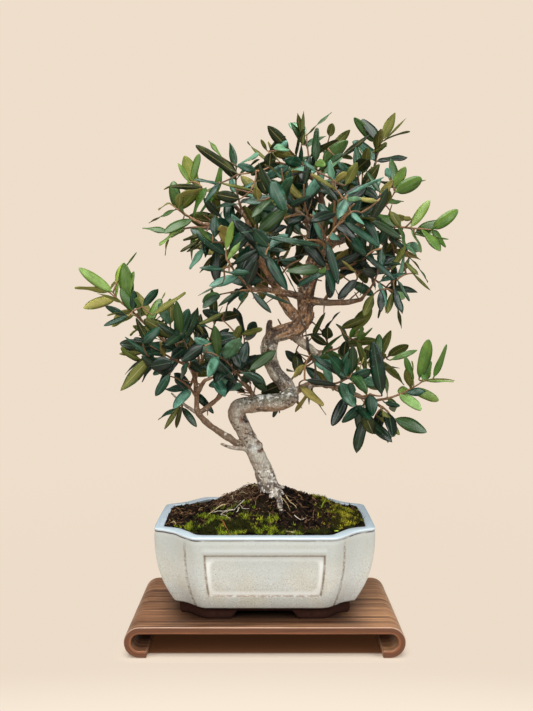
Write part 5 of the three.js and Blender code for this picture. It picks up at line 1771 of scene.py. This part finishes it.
def add_tufts(skin, places, youths, size):
    """Stars of thin pointed blades, dark at the foot and bright at the tip. The dark foot is partly the
    moss's own colour and partly painted shade among the blades.
    """
    blades = 8
    count = len(places)
    random = moss_rng.random
    bright = step(0.05, 0.5, noise(places * (1, 1, 0), 5, 68) + 0.5 * (random(count) - 0.35))
    way = 6.283 * (np.arange(blades)[None] + 0.8 * random((count, blades))) / blades
    rise = 0.25 + 1.15 * random((count, blades))
    out = np.stack([np.cos(way) * np.cos(rise), np.sin(way) * np.cos(rise), np.sin(rise)], -1)
    across = np.stack([-np.sin(way), np.cos(way), 0 * way], -1)
    third = np.cross(out, across)
    long = size * (2.2 + 2.6 * random((count, blades))) * (0.65 + 0.75 * random((count, 1)))
    wide = (0.5 + 0.3 * random((count, blades)))[..., None]
    foot = places[:, None] + out * 0.2
    tip = foot + out * long[..., None] + UP * (0.3 * random((count, blades)) * long)[..., None]
    points = np.stack([foot - across * wide, foot + across * wide, foot + third * wide * 0.9, tip], 2)
    looks = np.zeros((count, blades, 4, 4))
    looks[..., 2] = (0.03 * random((count, blades)) + 0.08 * bright[:, None])[..., None]
    looks[..., 3, 2] = (0.07 + bright[:, None]) * (0.15 + 1.1 * random((count, blades)) ** 2)
    looks[..., 3] = youths[:, None, None]
    starts = 4 * np.arange(count * blades)[:, None, None]
    skin.add(points.reshape(-1, 3), (starts + BLADE_FACES).reshape(-1, 3), 0, looks.reshape(-1, 4))


def moss_material():
    n = Nodes("moss", 0.85, 0.1)
    _, soil, _, tone, youth = n.look()
    place = n.place()
    green = n.mix(tone, (4, 8, 2), (150, 186, 40))
    n.colour = n.mix(youth, green, n.mix(tone, (12, 11, 3), (226, 212, 62)))
    n.lay(n.span(n.noise(place, 800), 0.45, 0.7, 0, 0.3), (60, 44, 24))
    n.lay(soil, (30, 21, 14))
    return n.done(Normal=n.bump(n.noise(place, 1500), 0.0006, 0.6))


moss = moss_material()
moss_rng = np.random.default_rng(808)


def bare(points):
    """Where moss gives way to dark ground, from 0 to 1."""
    flat = points * (1, 1, 0)
    x, y = points[:, 0], points[:, 1]
    patches = noise(flat, 11, 65) + 0.6 * noise(flat, 5, 66)
    slope = step(-36, -24, y) * step(34, 0, x) * step(60, 30, y)
    trough = step(14, 24, x) * step(72, 60, x) * step(-50, -38, y) * step(26, 14, y)
    gap = np.exp(-(((x + 57) / 5) ** 2)) * step(-25, -35, y)
    return step(0.15, 0.6, patches + 1.1 * slope + 1.3 * trough + 0.9 * gap)


def cushion_places(cushion):
    """Seeded places for the tufts of a cushion."""
    count = cushion["tufts"]
    share = np.sqrt(moss_rng.random(count)) * 1.06
    x, y = moss_outline(cushion, 6.283 * moss_rng.random(count))
    x, y = mix(cushion["centre"][0], x, share), mix(cushion["centre"][1], y, share)
    return mossy(x, y, dome(cushion, np.minimum(share, 1)) + 0.2)


def loose_places(count):
    """Seeded places for tufts on the ground, mostly by the front wall."""
    random = moss_rng.random
    front = random(count) < 0.6
    right = ~front & (random(count) < 0.6)
    x = np.where(front, -92 + 176 * random(count), -92 + 184 * random(count))
    x = np.where(right, 70 + 26 * random(count), x)
    wall = POT["centre_y"] - POT["rim"][1] + 10
    y = np.where(front, wall + 17 * random(count) ** 1.5, -58 + 118 * random(count))
    y = np.where(right, -36 + 50 * random(count), y)
    return mossy(x, y, 0.9)


def mossy(x, y, lift):
    """The places that lie in the pot, off the trunk's foot and mostly where the ground isn't bare."""
    points = np.column_stack([x, y, ground_at(x, y) + lift])
    points[:, 2] += noise(points, 6, 61) - 0.4
    keep = moss_rng.random(len(points)) > bare(points) * 0.9
    inside = np.array([in_pot(a, b, 10.5) for a, b in points[:, :2]])
    off_foot = np.hypot(x - FOOT_CENTRE[0], y - FOOT_CENTRE[1]) > 15
    return points[keep & inside & off_foot]


def cushion_lift(x, y):
    """How far a cushion's top lies above the ground at a place, or nothing where there's no cushion."""
    lift = 0
    for cushion in MOSS:
        (cx, cy), (a, b) = cushion["centre"], cushion["half"]
        c, s = math.cos(cushion["turn"]), math.sin(cushion["turn"])
        u, v = ((x - cx) * c + (y - cy) * s) / a, ((y - cy) * c - (x - cx) * s) / b
        share = math.hypot(u, v) / moss_wave(cushion, math.atan2(v, u))
        if share < 0.99:
            lift = max(lift, dome(cushion, share) + 0.3)
    return lift


LOOSE_SOIL_TRIES, LOOSE_TUFTS = 5200, 1900


def add_loose_soil(skin, draw):
    """Crumbs, chips and fibres that lie on the cushions, mostly where the moss is thin."""
    for k in range(LOOSE_SOIL_TRIES):
        x, y = on_soil(draw, 0.96)
        spot = np.array([(x, y, 0.0)])
        lift, thin = cushion_lift(x, y), float(bare(spot)[0])
        if lift == 0 or draw() > 0.1 + 0.9 * thin or not in_pot(x, y, 11):
            continue
        z = float(ground_at(x, y)) + lift + 1.5 * float(noise(spot + (0, 0, 110), 6, 61)[0]) - 0.4
        if k % 3:
            add_crumb(skin, (x, y, z), 0.5 + 1.5 * draw() ** 2.5, 0.5, 2, draw)
        else:
            half = (0.8 + 3.0 * draw() ** 2, 0.35 + 0.9 * draw() ** 2, 0.2 + 0.35 * draw())
            add_chip(skin, (x, y, z + 0.4), half, 0.5, draw, (0, 1, 2.2))


def youth_of(points, middle):
    right = 0.4 * step(55, 75, points[:, 0])
    drawn = 0.3 * (moss_rng.random(len(points)) - 0.5)
    return np.clip(middle + right + 0.35 * noise(points, 13, 67) + drawn, 0, 1)


for cushion in MOSS:
    skin = cushion_skin(cushion)
    places = cushion_places(cushion)
    add_tufts(skin, places, youth_of(places, cushion["youth"]), 0.78)
    dress(cushion["name"] + "_fine", make_mesh(cushion["name"], skin), [moss], [cushion["name"]])

loose = Skin()
places = loose_places(LOOSE_TUFTS)
add_tufts(loose, places, youth_of(places, 0.3), 0.76)
dress("moss_loose", make_mesh("moss_loose", loose), [moss])

crumbs = Skin()
add_loose_soil(crumbs, stream(502))
dress("soil_loose", make_mesh("soil_loose", crumbs), earth_set[:2])

# ------------------------------------------------------------ stand


HALF_Y, HALF_T, BEVEL = STAND["depth"] / 2, STAND["board"] / 2, 0.9


def stand_line():
    """The board's middle line [x, z], and the way out from it."""
    radius = STAND["height"] / 2 - HALF_T
    roll = STAND["length"] / 2 - STAND["height"] / 2
    centre_z = STAND["height"] / 2
    points = [(roll - f * STAND["lip"], HALF_T, 0, -1) for f in (1, 0.75, 0.5, 0.25)]
    for a in np.linspace(-math.pi / 2, math.pi / 2, 33):
        c, s = math.cos(a), math.sin(a)
        points.append((roll + radius * c, centre_z + radius * s, c, s))
    top = [(x, centre_z + radius, 0, 1) for x in np.linspace(roll, -roll, 41)[1:-1]]
    mirrored = [(-x, z, -a, b) for x, z, a, b in reversed(points)]
    return np.array([*points, *top, *mirrored])


def stand_section():
    """The board's section [y, t] with rounded edges, t being the distance from its middle."""
    section = []
    for quarter, (y_sign, t_sign) in enumerate(((1, 1), (-1, 1), (-1, -1), (1, -1))):
        for angle in (np.linspace(0, 1, 4) + quarter) * math.pi / 2:
            y = y_sign * (HALF_Y - BEVEL) + BEVEL * math.cos(angle)
            section.append((y, t_sign * (HALF_T - BEVEL) + BEVEL * math.sin(angle)))
        if quarter in (0, 2):
            spread = np.linspace(HALF_Y - 2, -HALF_Y + 2, 21)
            section += [(y * t_sign, t_sign * HALF_T) for y in spread]
    return np.array(section)


def stand_skin():
    line = stand_line()
    far = np.concatenate([[0], np.cumsum(np.hypot(*np.diff(line[:, :2], axis=0).T))])
    y, t = stand_section().T
    rings, grains = [], []
    for (x, z, out_x, out_z), s in zip(line, far):
        grain = np.column_stack([np.full(len(y), s), y, t])
        depth = t + 0.12 * noise(grain, (30, 16, 8), 71) * (np.abs(t) > HALF_T - 0.2)
        rings.append(np.column_stack([x + out_x * depth, y, z + out_z * depth]))
        grains.append(grain)
    tuck = 0.35 * (1 - np.abs(t) / HALF_T)
    rings[0][:, 0] -= tuck
    rings[-1][:, 0] += tuck
    points, faces = closed(rings)
    points[:, 2] = np.maximum(points[:, 2] - min(points[:-2, 2].min(), 0), 0)
    looks = np.zeros((len(points), 4))
    looks[:-2, :3] = np.vstack(grains)
    looks[-1, 0] = far[-1]
    skin = Skin()
    skin.add(points, faces, 0, looks)
    return skin


# Painted shadow of the pot on the wood round its foot: where it starts and how far it reaches.
POT_SHADOW = {"half_x": 0.066, "reach_x": 0.04, "half_y": 50, "reach_y": 38, "amount": 0.95}
# Families of fine dark lines in the wood: how the noise is stretched, and how wide the lines are in it.
FINE_LINES = (((0.0012, 0.1, 0.14), 0.03), ((0.0016, 0.18, 0.28), 0.045), ((0.0022, 0.3, 0.42), 0.05))


def wood_material():
    n = Nodes("wood", 0.42)
    grain, _, across, depth, _ = n.look()
    pores = n.noise(n.stretch(grain, (0.03, 1.6, 1.6)), 1, 5, 0.6)
    broad = n.noise(n.stretch(grain, (0.008, 0.09, 0.2)), 1, 3, 0.6)
    n.colour = n.mix(n.span(broad, 0.35, 0.65), (146, 102, 70), (174, 128, 92))
    soft = n.noise(n.stretch(grain, (0.0022, 0.3, 0.5)), 1, 2, 0.5)
    n.lay(n.span(soft, 0.5, 0.38, 0, 0.5), (92, 58, 38))
    for spread, limit in FINE_LINES:
        lines = n.noise(n.stretch(grain, spread), 1, 1, 0.5)
        n.lay(n.span(abs(lines - 0.5), limit, limit * 0.5, 0, 0.72), (64, 36, 22))
    n.lay(n.span(pores, 0.46, 0.36, 0, 0.5), (80, 50, 34))
    n.lay(n.span(pores, 0.58, 0.7, 0, 0.35), (206, 164, 126))
    place = n.place()
    x = n.axes(place)[0]
    # Painted shade darkens the left end of the board, and painted light brightens its right end.
    n.lay(n.span(x, -0.13, 0.13, 0.28, 0), (100, 68, 46))
    n.lay(n.span(x, 0.06, 0.12, 0, 0.2), (206, 160, 118))
    # Painted shadow of the pot, darkening the wood round its foot.
    out_x = (abs(x) - POT_SHADOW["half_x"]) / POT_SHADOW["reach_x"]
    out_y = (abs(across - POT["centre_y"]) - POT_SHADOW["half_y"]) / POT_SHADOW["reach_y"]
    n.lay(n.span(n.math("MAXIMUM", out_x, out_y), -0.1, 1, POT_SHADOW["amount"], 0), (40, 24, 15))
    face = n.mix(n.span(depth, -2.2, -0.6), (130, 80, 50), (101, 60, 36))
    face = n.mix(n.span(depth, 0.4, 1.4, 0, 0.75), face, (96, 60, 40))
    face = n.mix(n.span(pores, 0.5, 0.38, 0, 0.65), face, (72, 42, 28))
    # A painted highlight along the upper edge of the front face.
    face = n.mix(n.span(depth, 2.3, 3.0, 0, 0.7), face, (196, 164, 142))
    n.lay(n.span(abs(across), HALF_Y - 0.9, HALF_Y - 0.3), face)
    rough = n.span(n.noise(place, 40, 3), 0.3, 0.7, 0.34, 0.5)
    return n.done(Roughness=rough, Normal=n.bump(pores, 0.0005, 0.5))


dress("stand_fine", make_mesh("stand_fine", stand_skin()), [wood_material()], ["stand"])

# ------------------------------------------------------------ floor, light and camera

BACKGROUND = (238, 222, 203)
FOOTPRINT = {"y": 0.005, "half_x": 0.117, "half_y": 0.058}  # the painted shadow on the floor under the stand
LIGHT_POOL = {"y": -0.27, "half_x": 0.62, "half_y": 0.2}  # a painted pool of light on the floor before the stand
FLOOR_RADII = (0.02, 0.3, 0.6, 1, 1.6, 2.4, 4, 8)
FLOOR_SIDES, FLOOR_Z_M = 64, -0.0002
CAMERA = {"focal": 764, "picture_height": 711, "sensor": 36, "place": (0.0016, -0.7428, 0.3123), "tilt": 3.14}
LIGHTS = (  # name, place, aim, size, power and colour
    ("above", (-0.15, -0.25, 1.5), (0, 0, 0.2), 1.1, 27, (1, 0.985, 0.965)),
    ("front", (-0.15, -1.4, 1.25), (0, 0, 0.2), 1.0, 16.5, (1, 0.99, 0.975)),
    ("right", (1.2, -0.7, 0.9), (0, 0, 0.2), 0.8, 15.5, (0.96, 0.975, 1)),
    ("left", (-1.2, -0.8, 0.7), (0, 0, 0.15), 0.8, 7, (1, 0.99, 0.98)),
)


def floor_material():
    """Plain floor that takes the shadow near the stand, has a painted shadow under it, and fades into the
    background beyond it.
    """
    n = Nodes("floor", 0.9, 0.1)
    n.shader.inputs["Emission Strength"].default_value = 1.0
    x, y, _ = n.axes(n.place())
    beside = n.math("MAXIMUM", abs(x) - FOOTPRINT["half_x"])
    before = n.math("MAXIMUM", abs(y - FOOTPRINT["y"]) - FOOTPRINT["half_y"])
    under = n.span(n.math("MAXIMUM", beside, before), 0.0, 0.004, 1, 0)
    # Painted shadow under the stand: a dark brown colour, and a faint brown glow standing in for light thrown
    # back by the wood.
    n.colour = n.mix(under, (204, 188, 171), (92, 58, 36))
    n.done(Emission_Color=n.mix(under, (0, 0, 0), (48, 28, 15)))
    # A painted pool of light on the floor before the stand.
    light_pool = n.radius(x / LIGHT_POOL["half_x"], (y - LIGHT_POOL["y"]) / LIGHT_POOL["half_y"])
    tint = n.mix(n.span(light_pool, 0.55, 1.0), (249, 234, 216), (236, 220, 201))
    tint = n.mix(n.span(n.radius(x, y), 0.26, 0.9), tint, BACKGROUND)
    glow = n.add("ShaderNodeEmission", {"Color": tint, "Strength": 1.0})
    fade = n.span(n.radius(beside, before), 0.002, 0.024)
    both = {0: fade, 1: Wire(n, n.shader.outputs[0]), 2: glow}
    n.surface(n.add("ShaderNodeMixShader", both), "Material Output")
    return n.material


def make_floor():
    angles = np.linspace(0, 2 * math.pi, FLOOR_SIDES + 1)[:-1]
    points = [(r * math.cos(a), r * math.sin(a), FLOOR_Z_M) for r in FLOOR_RADII for a in angles]
    mesh = bpy.data.meshes.new("floor")
    faces = [*band(len(FLOOR_RADII), FLOOR_SIDES).tolist(), list(range(FLOOR_SIDES))]
    mesh.from_pydata(points, [], faces)
    mesh.materials.append(floor_material())
    put_object("floor", mesh)


def make_world():
    """The background that the camera sees, and a soft light that grows upward."""
    world = bpy.data.worlds.new("world")
    world.use_nodes = True
    graph = Graph(world.node_tree)
    background = graph.tree.nodes["Background"]
    background.inputs["Color"].default_value = paint(BACKGROUND)
    rise = graph.axes(graph.add("ShaderNodeTexCoord", {}, "Generated"))[2]
    reach = {"Value": rise, "From Min": -0.1, "From Max": 0.9, "To Min": 0.03, "To Max": 0.28}
    strength = graph.add("ShaderNodeMapRange", reach)
    light = graph.add("ShaderNodeBackground", {"Color": (1.0, 0.97, 0.94, 1), "Strength": strength})
    seen = graph.add("ShaderNodeLightPath", {}, "Is Camera Ray")
    both = {0: seen, 1: light, 2: Wire(graph, background.outputs[0])}
    graph.surface(graph.add("ShaderNodeMixShader", both), "World Output")
    bpy.context.scene.world = world


def add_light(name, place, aim, size, power, colour):
    data = bpy.data.lights.new(name, "AREA")
    data.size = size
    data.energy = power
    data.color = colour
    lamp = put_object(name, data)
    lamp.location = place
    lamp.rotation_euler = (Vector(aim) - Vector(place)).to_track_quat("-Z", "Y").to_euler()


def make_camera():
    data = bpy.data.cameras.new("camera")
    data.lens = CAMERA["focal"] / CAMERA["picture_height"] * CAMERA["sensor"]
    camera = put_object("camera", data)
    camera.location = CAMERA["place"]
    camera.rotation_euler = (math.radians(90 - CAMERA["tilt"]), 0, 0)
    bpy.context.scene.camera = camera


make_floor()
make_world()
for light in LIGHTS:
    add_light(*light)
make_camera()
bpy.context.scene.view_settings.view_transform = "Standard"
